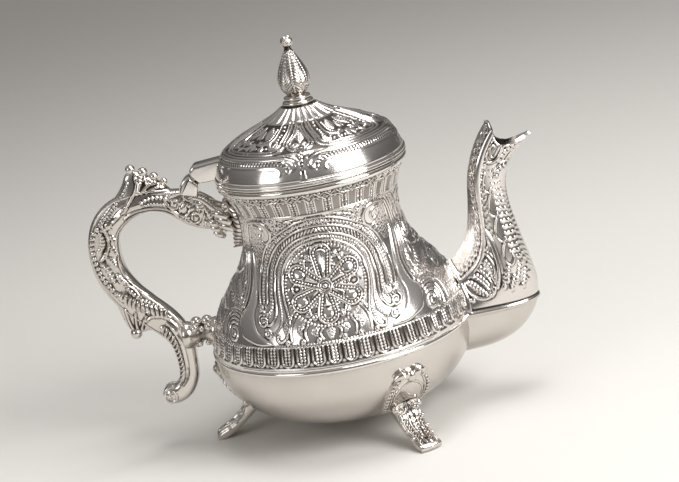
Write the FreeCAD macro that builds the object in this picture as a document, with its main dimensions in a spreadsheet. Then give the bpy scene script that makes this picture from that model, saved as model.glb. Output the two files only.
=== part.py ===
import FreeCAD, Part
import math
import os
import re

import Sketcher

# A footed metal teapot with a hinged lid, a beak spout and a scroll handle.
# Millimetres, +X towards the spout, +Z up, soles of the feet on z = 0.
SIZES = {
    # Body: the outline passes through points at shares of its height, each set in from the seam
    "seam_radius": 53.8,
    "seam_height": 39.7,
    "body_height": 67.3,
    "flank_inset": 0.6,
    "flank_share": 0.108,
    "shoulder_inset": 8.6,
    "shoulder_share": 0.34,
    "slope_inset": 17.5,
    "slope_share": 0.519,
    "waist_inset": 21.2,
    "waist_share": 0.756,
    "neck_inset": 15.9,
    "wall": 1.4,
    # Bowl under the seam
    "bilge_inset": 1.2,
    "bilge_height": 28.3,
    "bottom_inset": 9.2,
    "bottom_height": 17.0,
    "base_radius": 18.2,
    "base_height": 8.6,
    # Raised fields of the wall's ornament
    "relief_height": 0.5,
    "rosette_share": 0.45,
    "rosette_reach": 15.0,
    "horseshoe_reach": 28.0,
    "roundel_radius": 4.2,
    "side_scroll_radius": 5.4,
    "tongue_band_rise": 2.7,
    "tongue_band_height": 7.9,
    "neck_band_height": 8.9,
    "band_opening": 16.0,
    # Raised rings on the body
    "seam_bead": 1.2,
    "seam_bead_height": 2.0,
    "rim_bead": 1.5,
    "rim_bead_height": 3.0,
    # Lid
    "lid_clearance": 0.2,
    "flange_overhang": 0.2,
    "flange_height": 2.4,
    "sleeve_clearance": 0.9,
    "sleeve_wall": 0.8,
    "sleeve_depth": 3.5,
    "lid_wall": 1.2,
    "lid_setback": 0.8,
    "lid_band_height": 9.0,
    "lid_band_taper": 4.4,
    "dome_height": 14.1,
    "dome_radius": 18.6,
    "land_radius": 7.0,
    # Knob on the lid
    "collar_radius": 6.4,
    "collar_step": 0.9,
    "collar_height": 4.0,
    "knob_foot_radius": 3.4,
    "knob_radius": 6.5,
    "knob_height": 19.4,
    "knob_neck_radius": 1.4,
    "tip_radius": 2.6,
    "screw_radius": 1.5,
    "screw_head_radius": 2.9,
    "screw_head_height": 1.8,
    "screw_bite": 8.0,
    "handle_screw_bite": 5.5,
    "screw_clearance": 0.15,
    "flank_lean": 0.85,
    "washer_radius": 4.2,
    "washer_thickness": 0.8,
    # Lid hinge
    "hinge_setback": 6.3,
    "hinge_rise": 5.7,
    "knuckle_radius": 3.1,
    "hinge_clearance": 0.3,
    "arm_width": 9.0,
    "arm_depth": 4.8,
    "arm_slope": 1.0,
    "tongue_width": 3.0,
    "pin_radius": 1.2,
    "pin_clearance": 0.05,
    # Handle
    "grip_reach": 37.2,
    "arm_rise": 14.0,
    "bow_half_width": 6.6,
    "handle_half_thickness": 4.5,
    "tail_half_width": 4.0,
    "tail_drop": 17.0,
    "crest_height": 12.5,
    "crest_thickness": 4.0,
    "crest_ball_radius": 2.3,
    "spur_radius": 2.3,
    "plate_thickness": 2.2,
    "plate_half_width": 8.0,
    "plate_height": 17.0,
    "bracket_radius": 5.6,
    "bracket_waist": 3.8,
    "bracket_ball_radius": 2.5,
    # Spout
    "lip_reach": 36.5,
    "lip_rise": 67.8,
    "tip_rise": 75.9,
    "root_half_width": 13.4,
    "lip_half_width": 5.4,
    "spout_wall": 1.2,
    "strainer_hole_radius": 1.6,
    "strainer_pitch": 4.2,
    # Feet
    "foot_splay": 6.4,
    "sole_length": 4.6,
    "sole_half_width": 4.25,
    "shield_half_width": 10.0,
    "shield_top": 32.0,
    "shield_thickness": 1.4,
}
FOOT_TURNS = {"foot_rear": 180, "foot_front_right": -60, "foot_front_left": 60}
STRAINER_ROWS = 3
STRAINER_COLUMNS = 5

# Sizes that follow from the ones above
DERIVED = {
    "neck_height": "(seam_height + body_height)",
    "neck_radius": "(seam_radius - neck_inset)",
    "flank_height": "(seam_height + flank_share * body_height)",
    "flank_radius": "(seam_radius - flank_inset)",
    "shoulder_height": "(seam_height + shoulder_share * body_height)",
    "shoulder_radius": "(seam_radius - shoulder_inset)",
    "slope_height": "(seam_height + slope_share * body_height)",
    "slope_radius": "(seam_radius - slope_inset)",
    "waist_height": "(seam_height + waist_share * body_height)",
    "waist_radius": "(seam_radius - waist_inset)",
    "bilge_radius": "(seam_radius - bilge_inset)",
    "bottom_radius": "(seam_radius - bottom_inset)",
    "lid_radius": "(neck_radius + rim_bead - lid_setback)",
    "foot_reach": "(seam_radius + foot_splay)",
    "arm_height": "(waist_height + arm_rise)",
    "rosette_height": "(seam_height + rosette_share * body_height)",
}

# Heights and places that several pieces share
AXIS = "(grip_reach + bow_half_width - lip_reach) / 2"
RIM_TOP = "(neck_height + rim_bead_height)"
RIM_RADIUS = "(neck_radius + rim_bead)"
THROAT = "(neck_radius - wall)"
LID_BASE = f"({RIM_TOP} + lid_clearance)"
BAND_BASE = f"({LID_BASE} + flange_height)"
BAND_TOP = f"({BAND_BASE} + lid_band_height)"
DOME_TOP = f"({BAND_TOP} + dome_height)"
SLEEVE_RADIUS = f"({THROAT} - sleeve_clearance)"
FLANGE_RADIUS = f"({RIM_RADIUS} + flange_overhang)"
SCREW_HOLE = "(screw_radius + screw_clearance)"
KNOB_BASE = f"({DOME_TOP} + collar_height)"
HINGE_X = f"(0 - {FLANGE_RADIUS} - hinge_setback)"
HINGE_Z = f"({LID_BASE} + hinge_rise)"
FAR = 200.0

doc = FreeCAD.newDocument("teapot")
sheet = doc.addObject("Spreadsheet::Sheet", "Sizes")
for row, (alias, number) in enumerate(SIZES.items(), start=1):
    sheet.set(f"A{row}", alias)
    sheet.set(f"B{row}", str(number))
    sheet.setAlias(f"B{row}", alias)
doc.recompute()


def bound(text):
    """Writes each size's name in the text as a cell of the sheet."""
    def cell(word):
        name = word[0]
        return bound(DERIVED[name]) if name in DERIVED else f"Sizes.{name}" if name in SIZES else name

    return re.sub("[a-z_]+", cell, text)


def value(text):
    """Works out a text of sizes as a number."""
    return float(sheet.evalExpression(bound(text)))


def place(piece, x="0", y="0", z="0"):
    """Stands a piece at a point measured from the pot's turning axis."""
    piece.setExpression("Placement.Base.x", bound(f"{AXIS} + {x}"))
    piece.setExpression("Placement.Base.y", bound(y))
    piece.setExpression("Placement.Base.z", bound(z))
    return piece


def new_body(name):
    """Starts a body whose own origin is on the pot's turning axis."""
    return place(doc.addObject("PartDesign::Body", name))


def origin_plane(body, role):
    """Finds one of a body's own origin planes."""
    return next(plane for plane in body.Origin.OriginFeatures if plane.Role == role)


def pin_corner(sketch, line, end, x, y):
    """Ties one end of a sketch line to its two sizes."""
    for axis, text, other in (("DistanceX", x, -2), ("DistanceY", y, -1)):
        number = value(text)
        if number == 0:
            sketch.addConstraint(Sketcher.Constraint("PointOnObject", line, end, other))
            continue
        index = sketch.addConstraint(Sketcher.Constraint(axis, -1, 1, line, end, number))
        name = f"corner_{line}_{axis[-1]}"
        sketch.renameConstraint(index, name)
        sketch.setExpression(f"Constraints.{name}", bound(text))


def outline(*runs):
    """Closes runs of points into an outline. Each run starts where the one before it ends."""
    ends = [run[-1] for run in runs]
    return [[start, *run] for start, run in zip(ends[-1:] + ends[:-1], runs)]


def draw(body, name, plane, runs, offset=None):
    """Draws a closed outline. A run of two points is a line, of three an arc and of more a smooth curve."""
    sketch = body.newObject("Sketcher::SketchObject", name)
    sketch.AttachmentSupport = [(origin_plane(body, plane), "")]
    sketch.MapMode = "FlatFace"
    if offset is not None:
        sketch.AttachmentOffset = offset
    ends = []
    for line, run in enumerate(runs):
        points = [FreeCAD.Vector(value(x), value(y), 0) for x, y in run]
        if len(points) == 2:
            sketch.addGeometry(Part.LineSegment(*points))
        elif len(points) == 3:
            sketch.addGeometry(Part.Arc(*points))
        else:
            curve = Part.BSplineCurve()
            curve.interpolate(points)
            sketch.addGeometry(curve)
        to_start, to_end = ((sketch.getPoint(line, end) - points[0]).Length for end in (1, 2))
        ends.append((1, 2) if to_start < to_end else (2, 1))
    for line, run in enumerate(runs):
        following = (line + 1) % len(runs)
        joint = Sketcher.Constraint("Coincident", line, ends[line][1], following, ends[following][0])
        sketch.addConstraint(joint)
        pin_corner(sketch, line, ends[line][0], *run[0])
    return sketch


def draw_circle(body, name, plane, x, y, radius):
    """Draws a circle tied to its centre and radius."""
    sketch = body.newObject("Sketcher::SketchObject", name)
    sketch.AttachmentSupport = [(origin_plane(body, plane), "")]
    sketch.MapMode = "FlatFace"
    centre = FreeCAD.Vector(value(x), value(y), 0)
    sketch.addGeometry(Part.Circle(centre, FreeCAD.Vector(0, 0, 1), value(radius)))
    pin_corner(sketch, 0, 3, x, y)
    index = sketch.addConstraint(Sketcher.Constraint("Radius", 0, value(radius)))
    sketch.renameConstraint(index, "ring")
    sketch.setExpression("Constraints.ring", bound(radius))
    return sketch


def turned(name, runs, axis="V_Axis"):
    """Turns an outline of radius and height into a body."""
    body = new_body(name)
    sketch = draw(body, f"{name}_outline", "XZ_Plane", runs)
    turn = body.newObject("PartDesign::Revolution", f"{name}_turn")
    turn.Profile = sketch
    turn.ReferenceAxis = (sketch, [axis])
    turn.Angle = 360
    return body


def padded(name, plane, runs, width):
    """Pads an outline evenly to both sides of its plane."""
    body = new_body(name)
    pad = body.newObject("PartDesign::Pad", f"{name}_pad")
    pad.Profile = draw(body, f"{name}_outline", plane, runs)
    pad.Midplane = True
    pad.setExpression("Length", bound(width))
    return body


def bored(body, name, sketch, width=None):
    """Pockets a sketch evenly to both sides of its plane, right through or as wide as given."""
    pocket = body.newObject("PartDesign::Pocket", name)
    pocket.Profile = sketch
    pocket.Midplane = True
    if width is None:
        pocket.Length = FAR
    else:
        pocket.setExpression("Length", bound(width))
    return pocket


def cylinder(name, radius, length, turn, x, y, z):
    """Makes a round bar that starts at a point and runs along the turned Z axis."""
    bar = doc.addObject("Part::Cylinder", name)
    bar.setExpression("Radius", bound(radius))
    bar.setExpression("Height", bound(length))
    bar.Placement = FreeCAD.Placement(FreeCAD.Vector(), turn)
    return place(bar, x, y, z)


def ball(name, radius, x, z):
    """Makes a ball in the pot's middle plane."""
    sphere = doc.addObject("Part::Sphere", name)
    sphere.setExpression("Radius", bound(radius))
    return place(sphere, x, "0", z)


def block(name, low, high):
    """Makes a box between two corners."""
    box = doc.addObject("Part::Box", name)
    for size, start, stop in zip(("Length", "Width", "Height"), low, high):
        box.setExpression(size, bound(f"({stop}) - ({start})"))
    return place(box, *low)


def cut(name, base, *tools):
    """Takes the tools out of the base, one after the other."""
    result = base
    for count, tool in enumerate(tools, start=1):
        step = doc.addObject("Part::Cut", name if count == len(tools) else f"{name}_step_{count}")
        step.Base = result
        step.Tool = tool
        result = step
    return result


def common(name, base, tool):
    """Keeps what two shapes share."""
    result = doc.addObject("Part::Common", name)
    result.Base = base
    result.Tool = tool
    return result


def fused(name, *shapes):
    """Joins shapes that are cast as one piece."""
    result = doc.addObject("Part::MultiFuse", name)
    result.Shapes = list(shapes)
    result.Refine = True
    return result


# Outlines of the body and bowl, outside and inside, from the seam
def body_curve(grow):
    """Lists the upper body's outline, grown outwards by a size, from the seam to the neck."""
    names = ("seam", "flank", "shoulder", "slope", "waist", "neck")
    return [(f"{name}_radius + {grow}", f"{name}_height") for name in names]


def bowl_curve(grow):
    """Lists the bowl's outline, grown outwards by a size, from the seam to the flat base."""
    return [
        (f"seam_radius + {grow}", "seam_height"),
        (f"bilge_radius + {grow}", f"bilge_height - 0.3 * ({grow})"),
        (f"bottom_radius + 0.75 * ({grow})", f"bottom_height - 0.75 * ({grow})"),
        ("base_radius", f"base_height - ({grow})"),
    ]


def round_form(name, curve):
    """Turns a curve into a full solid, closed on the turning axis."""
    first, last = curve[0], curve[-1]
    return turned(name, outline(curve[1:], [("0", last[1])], [("0", first[1])], [first]))


body_form = round_form("body_form", body_curve("0"))
bowl_form = round_form("bowl_form", bowl_curve("0"))
pot_form = fused("pot_form", body_form, bowl_form)

# Spout: a roof-backed tube whose cross-section turns from the body's side to the beak
SPOUT_STATIONS = [
    # back x, back z, front x, front z, ridge half width, side half width
    ("-9.8", "17.5", "-9.8", "-19", "8.5", "root_half_width"),
    ("-2.4", "22.2", "4.8", "-18.5", "8.2", "root_half_width - 0.2"),
    ("2.1", "27.3", "19", "-13.5", "7.8", "root_half_width - 1.4"),
    ("4.6", "33.3", "28.7", "-0.8", "7.4", "root_half_width - 2.6"),
    ("6.1", "40.8", "28.1", "15.8", "7", "lip_half_width + 4"),
    ("7.2", "48.4", "24.3", "33.8", "6.6", "lip_half_width + 2.4"),
    ("8.5", "55.9", "22.9", "47.4", "6.2", "lip_half_width + 1.4"),
    ("lip_reach - 24.6", "tip_rise - 11", "lip_reach - 10.6", "lip_rise - 10", "5.6", "lip_half_width + 1"),
    ("lip_reach - 17.2", "tip_rise", "lip_reach", "lip_rise", "5", "lip_half_width"),
]
RIDGE_SHARE = "0.2"
SIDE_SHARE = "0.52"
NOSE_SHARE = "0.86"
NOSE_WIDTH = "0.72"


def spout_section(body, name, station, inset):
    """Draws one cross-section of the spout in the plane through its back and front points."""
    back_x, back_z, front_x, front_z, ridge, side = station
    back = FreeCAD.Vector(value(f"seam_radius + {back_x}"), 0, value(f"seam_height + {back_z}"))
    front = FreeCAD.Vector(value(f"seam_radius + {front_x}"), 0, value(f"seam_height + {front_z}"))
    along = (front - back).normalize()
    turn = FreeCAD.Rotation(along, FreeCAD.Vector(0, 1, 0), FreeCAD.Vector(), "XYZ")
    span = f"sqrt((({front_x}) - ({back_x})) ^ 2 + (({front_z}) - ({back_z})) ^ 2)"
    depth = f"({span} - 2.6 * {inset})"
    start = f"1.6 * {inset}"
    ridge_x = f"{start} + {RIDGE_SHARE} * {depth}"
    nose = (f"{start} + {NOSE_SHARE} * {depth}", f"{NOSE_WIDTH} * ({side} - {inset})")
    flank = (f"{start} + {SIDE_SHARE} * {depth}", f"{side} - {inset}")
    half = [(ridge_x, f"{ridge} - {inset}"), flank, nose]
    mirrored = [(x, f"0 - ({y})") for x, y in reversed(half)]
    runs = [
        [(start, "0"), half[0]],
        [*half, (f"{start} + {depth}", "0"), *mirrored],
        [mirrored[-1], (start, "0")],
    ]
    return draw(body, name, "XY_Plane", runs, FreeCAD.Placement(back, turn))


def spout_loft(body, kind, name, inset):
    """Lofts the spout's cross-sections, drawn in by the wall for the bore."""
    stations = enumerate(SPOUT_STATIONS)
    sections = [spout_section(body, f"{name}_{count}", station, inset) for count, station in stations]
    loft = body.newObject(kind, name)
    loft.Profile = sections[0]
    loft.Sections = sections[1:]
    return loft


spout_solid = new_body("spout_solid")
spout_loft(spout_solid, "PartDesign::AdditiveLoft", "spout_skin", "0")
spout_bore = new_body("spout_bore")
spout_loft(spout_bore, "PartDesign::AdditiveLoft", "spout_inside", "spout_wall")
LIP_X = "(seam_radius + lip_reach)"
LIP_Z = "(seam_height + lip_rise)"
NOTCH_TOP = "(seam_height + tip_rise + 1)"
NOTCH_END = f"{LIP_X} + 1"
notch_outline = outline(
    [(f"{LIP_X} - 13.6", f"{LIP_Z} - 1.6")],
    [(f"{LIP_X} - 7", f"{LIP_Z} - 1.7"), (NOTCH_END, f"{LIP_Z} + 0.4")],
    [(NOTCH_END, NOTCH_TOP)],
    [(f"{LIP_X} - 16.6", NOTCH_TOP)],
)
beak_notch = padded("beak_notch", "XZ_Plane", notch_outline, "4 * root_half_width")
spout_shell = cut("spout_shell", spout_solid, spout_bore, beak_notch, pot_form)
above_seam = block("above_seam", ("0", f"0 - {FAR}", "seam_height"), (f"{FAR}", f"{FAR}", f"{FAR}"))
below_seam = block("below_seam", ("0", f"0 - {FAR}", "0"), (f"{FAR}", f"{FAR}", "seam_height"))
spout_upper = common("spout_upper", spout_shell, above_seam)
spout_belly = common("spout_belly", spout_shell, below_seam)

# Upper body with the strainer holes behind the spout
upper_outside = body_curve("0")
upper_inside = body_curve("(0 - wall)")[::-1]
upper_turned = turned(
    "upper_turned",
    outline(upper_outside[1:], [upper_inside[0]], upper_inside[1:], [upper_outside[0]]),
)
strainer = upper_turned.newObject("Sketcher::SketchObject", "strainer_holes")
strainer.AttachmentSupport = [(origin_plane(upper_turned, "YZ_Plane"), "")]
strainer.MapMode = "FlatFace"
for hole in range(STRAINER_ROWS * STRAINER_COLUMNS):
    hole_row, column = divmod(hole, STRAINER_COLUMNS)
    y_text = f"strainer_pitch * {column - (STRAINER_COLUMNS - 1) / 2}"
    z_text = f"flank_height + strainer_pitch * {hole_row - 0.5}"
    centre = FreeCAD.Vector(value(y_text), value(z_text), 0)
    strainer.addGeometry(Part.Circle(centre, FreeCAD.Vector(0, 0, 1), value("strainer_hole_radius")))
    pin_corner(strainer, hole, 3, y_text, z_text)
    radius_index = strainer.addConstraint(Sketcher.Constraint("Radius", hole, value("strainer_hole_radius")))
    strainer.renameConstraint(radius_index, f"hole_{hole}")
    strainer.setExpression(f"Constraints.hole_{hole}", bound("strainer_hole_radius"))
doc.recompute()
solid_wall = upper_turned.Shape.Volume
strainer_cut = upper_turned.newObject("PartDesign::Pocket", "strainer_cut")
strainer_cut.Profile = strainer
strainer_cut.Length = FAR
strainer_cut.Reversed = True
doc.recompute()
assert upper_turned.Shape.Volume < solid_wall, "the strainer holes point away from the spout"

# Raised fields on the wall: the share of each outline, seen from the side, in a skin over the wall
ROSETTE_PETALS = 6
WALL_LEAN = 0.82
HORSESHOE_INSIDE = [(0.57, -0.4), (0.59, -0.17), (0.6, 0.12), (0.42, 0.44), (0, 0.58)]
HORSESHOE_OUTSIDE = [(0.89, -0.43), (0.96, -0.08), (0.88, 0.31), (0.55, 0.75), (0, 0.94)]
SWOOSH_INSIDE = [(0.97, 0.86), (0.98, 0.45), (1.0, -0.03), (0.95, -0.33), (0.79, -0.67)]
SWOOSH_OUTSIDE = [(1.1, -0.68), (1.3, -0.58), (1.32, -0.38), (1.14, -0.11), (1.06, 0.28), (0.97, 0.86)]
ROUNDELS = {
    # angle from the side's middle, height as a share of the body, radius
    "roundel": (53.4, 0.228, "roundel_radius"),
    "leaf_scroll": (77.6, 0.369, "roundel_radius"),
    "side_scroll": (90, 0.545, "side_scroll_radius"),
}


def beside_rosette(points, side=1):
    """Places points, given as shares of the horseshoe's reach, about the rosette."""
    return [(f"{side * x} * horseshoe_reach", f"rosette_height + {z} * horseshoe_reach") for x, z in points]


def petal(number):
    """Makes the bar of one rosette petal, broad at its outer end."""
    aim = math.radians(90 + 360 / ROSETTE_PETALS * number)
    corners = []
    for along, across in ((0.18, 0), (0.79, 0.18), (0.99, 0), (0.79, -0.18)):
        x = along * math.cos(aim) - across * math.sin(aim)
        z = WALL_LEAN * (along * math.sin(aim) + across * math.cos(aim))
        corners.append((f"{x:.4f} * rosette_reach", f"rosette_height + {z:.4f} * rosette_reach"))
    root, first, tip, second = corners
    return padded(f"petal_{number}", "XZ_Plane", outline([first], [tip, second], [root]), f"{FAR}")


def roundel(name, degrees, share, radius):
    """Makes the bar of one roundel, pointing away from the pot's axis."""
    aim = math.radians(degrees)
    turn = FreeCAD.Rotation(FreeCAD.Vector(0, 0, 1), FreeCAD.Vector(math.cos(aim), math.sin(aim), 0))
    return cylinder(name, radius, f"{FAR}", turn, "0", "0", f"seam_height + {share} * body_height")


ALONG_Y = FreeCAD.Rotation(FreeCAD.Vector(1, 0, 0), -90)
rosette_boss = cylinder(
    "rosette_boss", "0.17 * rosette_reach", f"2 * {FAR}", ALONG_Y, "0", f"0 - {FAR}", "rosette_height"
)
horseshoe_left = beside_rosette(HORSESHOE_OUTSIDE[:-1], -1)
horseshoe_right = beside_rosette(HORSESHOE_OUTSIDE)[::-1]
arch_left = beside_rosette(HORSESHOE_INSIDE[:-1], -1)
arch_right = beside_rosette(HORSESHOE_INSIDE)[::-1]
horseshoe = padded(
    "horseshoe",
    "XZ_Plane",
    outline(
        [*horseshoe_left[1:], *horseshoe_right],
        [arch_right[-1]],
        [*arch_right[-2::-1], *arch_left[::-1]],
        [horseshoe_left[0]],
    ),
    f"{FAR}",
)
fields = [rosette_boss, horseshoe, *(petal(number) for number in range(ROSETTE_PETALS))]
for side, side_name in ((1, "first"), (-1, "second")):
    inside = beside_rosette(SWOOSH_INSIDE, side)
    outside = beside_rosette(SWOOSH_OUTSIDE, side)
    fields.append(padded(f"swoosh_{side_name}", "XZ_Plane", outline(inside[1:], outside), f"{FAR}"))
    near, far = sorted((f"{side} * band_opening", f"{side * FAR}"), key=value)
    for band, low, height in (
        ("tongue_band", "(seam_height + tongue_band_rise)", "tongue_band_height"),
        ("neck_band", "(neck_height - 0.5 - neck_band_height)", "neck_band_height"),
    ):
        corner = (f"{FAR}", far, f"{low} + {height}")
        fields.append(block(f"{band}_{side_name}", (f"0 - {FAR}", near, low), corner))
for roundel_name, (spread, share, radius) in ROUNDELS.items():
    turns = {middle + way * spread for middle in (90, 270) for way in (-1, 1)}
    for count, degrees in enumerate(sorted({turn % 360 for turn in turns})):
        fields.append(roundel(f"{roundel_name}_{count}", degrees, share, radius))
relief_form = round_form("relief_form", body_curve("relief_height"))
relief_core = round_form("relief_core", body_curve("(0 - wall / 2)"))
relief_skin = cut("relief_skin", relief_form, relief_core)
field_bars = doc.addObject("Part::Compound", "field_bars")
field_bars.Links = fields
wall_shape = fused("wall_shape", upper_turned, common("raised_fields", relief_skin, field_bars))

# Bowl, seam ring and rim ring
bowl_outside = bowl_curve("0")
bowl_inside = bowl_curve("(0 - wall)")[::-1]
lower_bowl = turned(
    "lower_bowl",
    outline(
        bowl_outside[1:],
        [("0", "base_height")],
        [("0", "base_height + wall")],
        [bowl_inside[0]],
        bowl_inside[1:],
        [bowl_outside[0]],
    ),
)
seam_low = ("seam_radius - wall / 2", "seam_height - seam_bead_height / 2")
seam_high = ("seam_radius - wall / 2", "seam_height + seam_bead_height / 2")
seam_top = ("seam_radius + seam_bead", "seam_height")
seam_turned = turned("seam_turned", outline([seam_top, seam_high], [seam_low]))
seam_ring = cut("seam_ring", seam_turned, pot_form, spout_solid)
rim_low = (f"{RIM_RADIUS} - rim_bead_height / 2", "neck_height")
rim_high = (f"{RIM_RADIUS} - rim_bead_height / 2", RIM_TOP)
neck_rim = turned(
    "neck_rim",
    outline(
        [(RIM_RADIUS, "neck_height + rim_bead_height / 2"), rim_high],
        [(THROAT, RIM_TOP)],
        [(THROAT, "neck_height")],
        [rim_low],
    ),
)

# Lid: flange ring, locating sleeve and dome
flange_low = (f"{FLANGE_RADIUS} - flange_height / 2", LID_BASE)
flange_high = (f"{FLANGE_RADIUS} - flange_height / 2", BAND_BASE)
lid_flange = turned(
    "lid_flange",
    outline(
        [(FLANGE_RADIUS, f"{LID_BASE} + flange_height / 2"), flange_high],
        [(SLEEVE_RADIUS, BAND_BASE)],
        [(SLEEVE_RADIUS, LID_BASE)],
        [flange_low],
    ),
)
sleeve_corners = [
    (SLEEVE_RADIUS, f"{LID_BASE} - sleeve_depth"),
    (SLEEVE_RADIUS, BAND_BASE),
    (f"{SLEEVE_RADIUS} - sleeve_wall", BAND_BASE),
    (f"{SLEEVE_RADIUS} - sleeve_wall", f"{LID_BASE} - sleeve_depth"),
]
lid_sleeve = turned("lid_sleeve", outline(*([corner] for corner in sleeve_corners)))


def dome_curve(wall):
    """Lists the lid's outline from the flange to the flat land under the knob, drawn in by a wall."""
    band_end = "(lid_radius - lid_band_taper)"
    return [
        (f"lid_radius - {wall}", BAND_BASE),
        (f"lid_radius - lid_band_taper / 2 - {wall}", f"{BAND_BASE} + 0.6 * lid_band_height"),
        (f"{band_end} - {wall}", f"{BAND_TOP} - 0.3 * {wall}"),
        (f"({band_end} + dome_radius) / 2 - 0.4 * {wall}", f"{BAND_TOP} + 0.32 * dome_height - {wall}"),
        (f"dome_radius - 0.3 * {wall}", f"{BAND_TOP} + 0.55 * dome_height - {wall}"),
        (f"land_radius - 0.4 * {wall}", f"{DOME_TOP} - {wall}"),
    ]


dome_outside = dome_curve("0")
dome_inside = dome_curve("lid_wall")[::-1]
WASHER_TOP = f"({DOME_TOP} - lid_wall)"
lid_dome = turned(
    "lid_dome",
    outline(
        dome_outside[1:],
        [(SCREW_HOLE, DOME_TOP)],
        [(SCREW_HOLE, WASHER_TOP)],
        [dome_inside[0]],
        dome_inside[1:],
        [dome_outside[0]],
    ),
)
lid_form = round_form("lid_form", dome_outside)

# Knob: stepped collar, bulb with a ball tip, and the screw that draws it down
STEP_RADIUS = "(collar_radius - collar_step)"
TIER_TOP = f"({DOME_TOP} + collar_height / 2)"
knob_collar = turned(
    "knob_collar",
    outline(
        [("collar_radius", f"{TIER_TOP} - collar_height / 4"), (STEP_RADIUS, TIER_TOP)],
        [(STEP_RADIUS, f"{TIER_TOP} + collar_height / 5"), (f"{STEP_RADIUS} - collar_step", KNOB_BASE)],
        [(SCREW_HOLE, KNOB_BASE)],
        [(SCREW_HOLE, DOME_TOP)],
        [(STEP_RADIUS, DOME_TOP)],
    ),
)
KNOB_NECK = f"({KNOB_BASE} + knob_height)"
BALL_CENTRE = f"({KNOB_NECK} + sqrt(tip_radius ^ 2 - knob_neck_radius ^ 2))"
SCREW_END = f"({KNOB_BASE} + screw_bite)"
knob = turned(
    "knob",
    outline(
        [("knob_foot_radius", KNOB_BASE)],
        [
            ("knob_radius", f"{KNOB_BASE} + 0.34 * knob_height"),
            ("0.7 * knob_radius", f"{KNOB_BASE} + 0.66 * knob_height"),
            ("knob_neck_radius", KNOB_NECK),
        ],
        [("tip_radius", BALL_CENTRE), ("0", f"{BALL_CENTRE} + tip_radius")],
        [("0", SCREW_END)],
        [("screw_radius", SCREW_END)],
        [("screw_radius", KNOB_BASE)],
    ),
)
HEAD_TOP = f"({WASHER_TOP} - washer_thickness)"
washer_corners = [
    (SCREW_HOLE, HEAD_TOP),
    ("washer_radius", HEAD_TOP),
    ("washer_radius", WASHER_TOP),
    (SCREW_HOLE, WASHER_TOP),
]
knob_washer = turned("knob_washer", outline(*([corner] for corner in washer_corners)))
screw_corners = [
    ("0", f"{HEAD_TOP} - screw_head_height"),
    ("screw_head_radius", f"{HEAD_TOP} - screw_head_height"),
    ("screw_head_radius", HEAD_TOP),
    ("screw_radius", HEAD_TOP),
    ("screw_radius", SCREW_END),
    ("0", SCREW_END),
]
knob_screw = turned("knob_screw", outline(*([corner] for corner in screw_corners)))

# Hinge: the lid's forked arm, its pin and the tongue on the handle's lug
ARM_LOW = f"({HINGE_Z} - arm_depth)"
ARM_TOP = f"({HINGE_Z} + knuckle_radius)"
ARM_ROOT = "(5 - lid_radius)"
ARM_ROOT_LOW = f"(0 - {SLEEVE_RADIUS} - sleeve_wall)"
ARM_HEEL = (f"{HINGE_X} + 0.3", ARM_LOW)
arm_outline = outline(
    [(HINGE_X, ARM_TOP)],
    [
        (f"{HINGE_X} - knuckle_radius", HINGE_Z),
        (f"{HINGE_X} - 0.8 * knuckle_radius", f"{HINGE_Z} - 0.6 * knuckle_radius"),
    ],
    [ARM_HEEL],
    [(ARM_ROOT_LOW, ARM_LOW)],
    [(ARM_ROOT, f"{ARM_TOP} + arm_slope")],
)
arm_blank = padded("arm_blank", "XZ_Plane", arm_outline, "arm_width")
SLOT_RADIUS = "(knuckle_radius + hinge_clearance)"
SLOT_BACK = f"{HINGE_X} - 2 * {SLOT_RADIUS}"
SLOT_LOW = f"{ARM_LOW} - 1"
slot_outline = outline(
    [(f"{HINGE_X} + {SLOT_RADIUS}", HINGE_Z), (HINGE_X, f"{HINGE_Z} - {SLOT_RADIUS}")],
    [(f"{HINGE_X} + 0.6", SLOT_LOW)],
    [(SLOT_BACK, SLOT_LOW)],
    [(SLOT_BACK, f"{HINGE_Z} + {SLOT_RADIUS}")],
    [(HINGE_X, f"{HINGE_Z} + {SLOT_RADIUS}")],
)
fork_slot = draw(arm_blank, "fork_slot", "XZ_Plane", slot_outline)
bored(arm_blank, "fork_slot_cut", fork_slot, "tongue_width + 2 * hinge_clearance")
fork_pin = draw_circle(arm_blank, "fork_pin", "XZ_Plane", HINGE_X, HINGE_Z, "pin_radius")
bored(arm_blank, "fork_pin_hole", fork_pin)
lid_arm = cut("lid_arm", arm_blank, lid_form, lid_flange)
hinge_pin = cylinder("hinge_pin", "pin_radius", "arm_width", ALONG_Y, HINGE_X, "0 - arm_width / 2", HINGE_Z)

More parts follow.
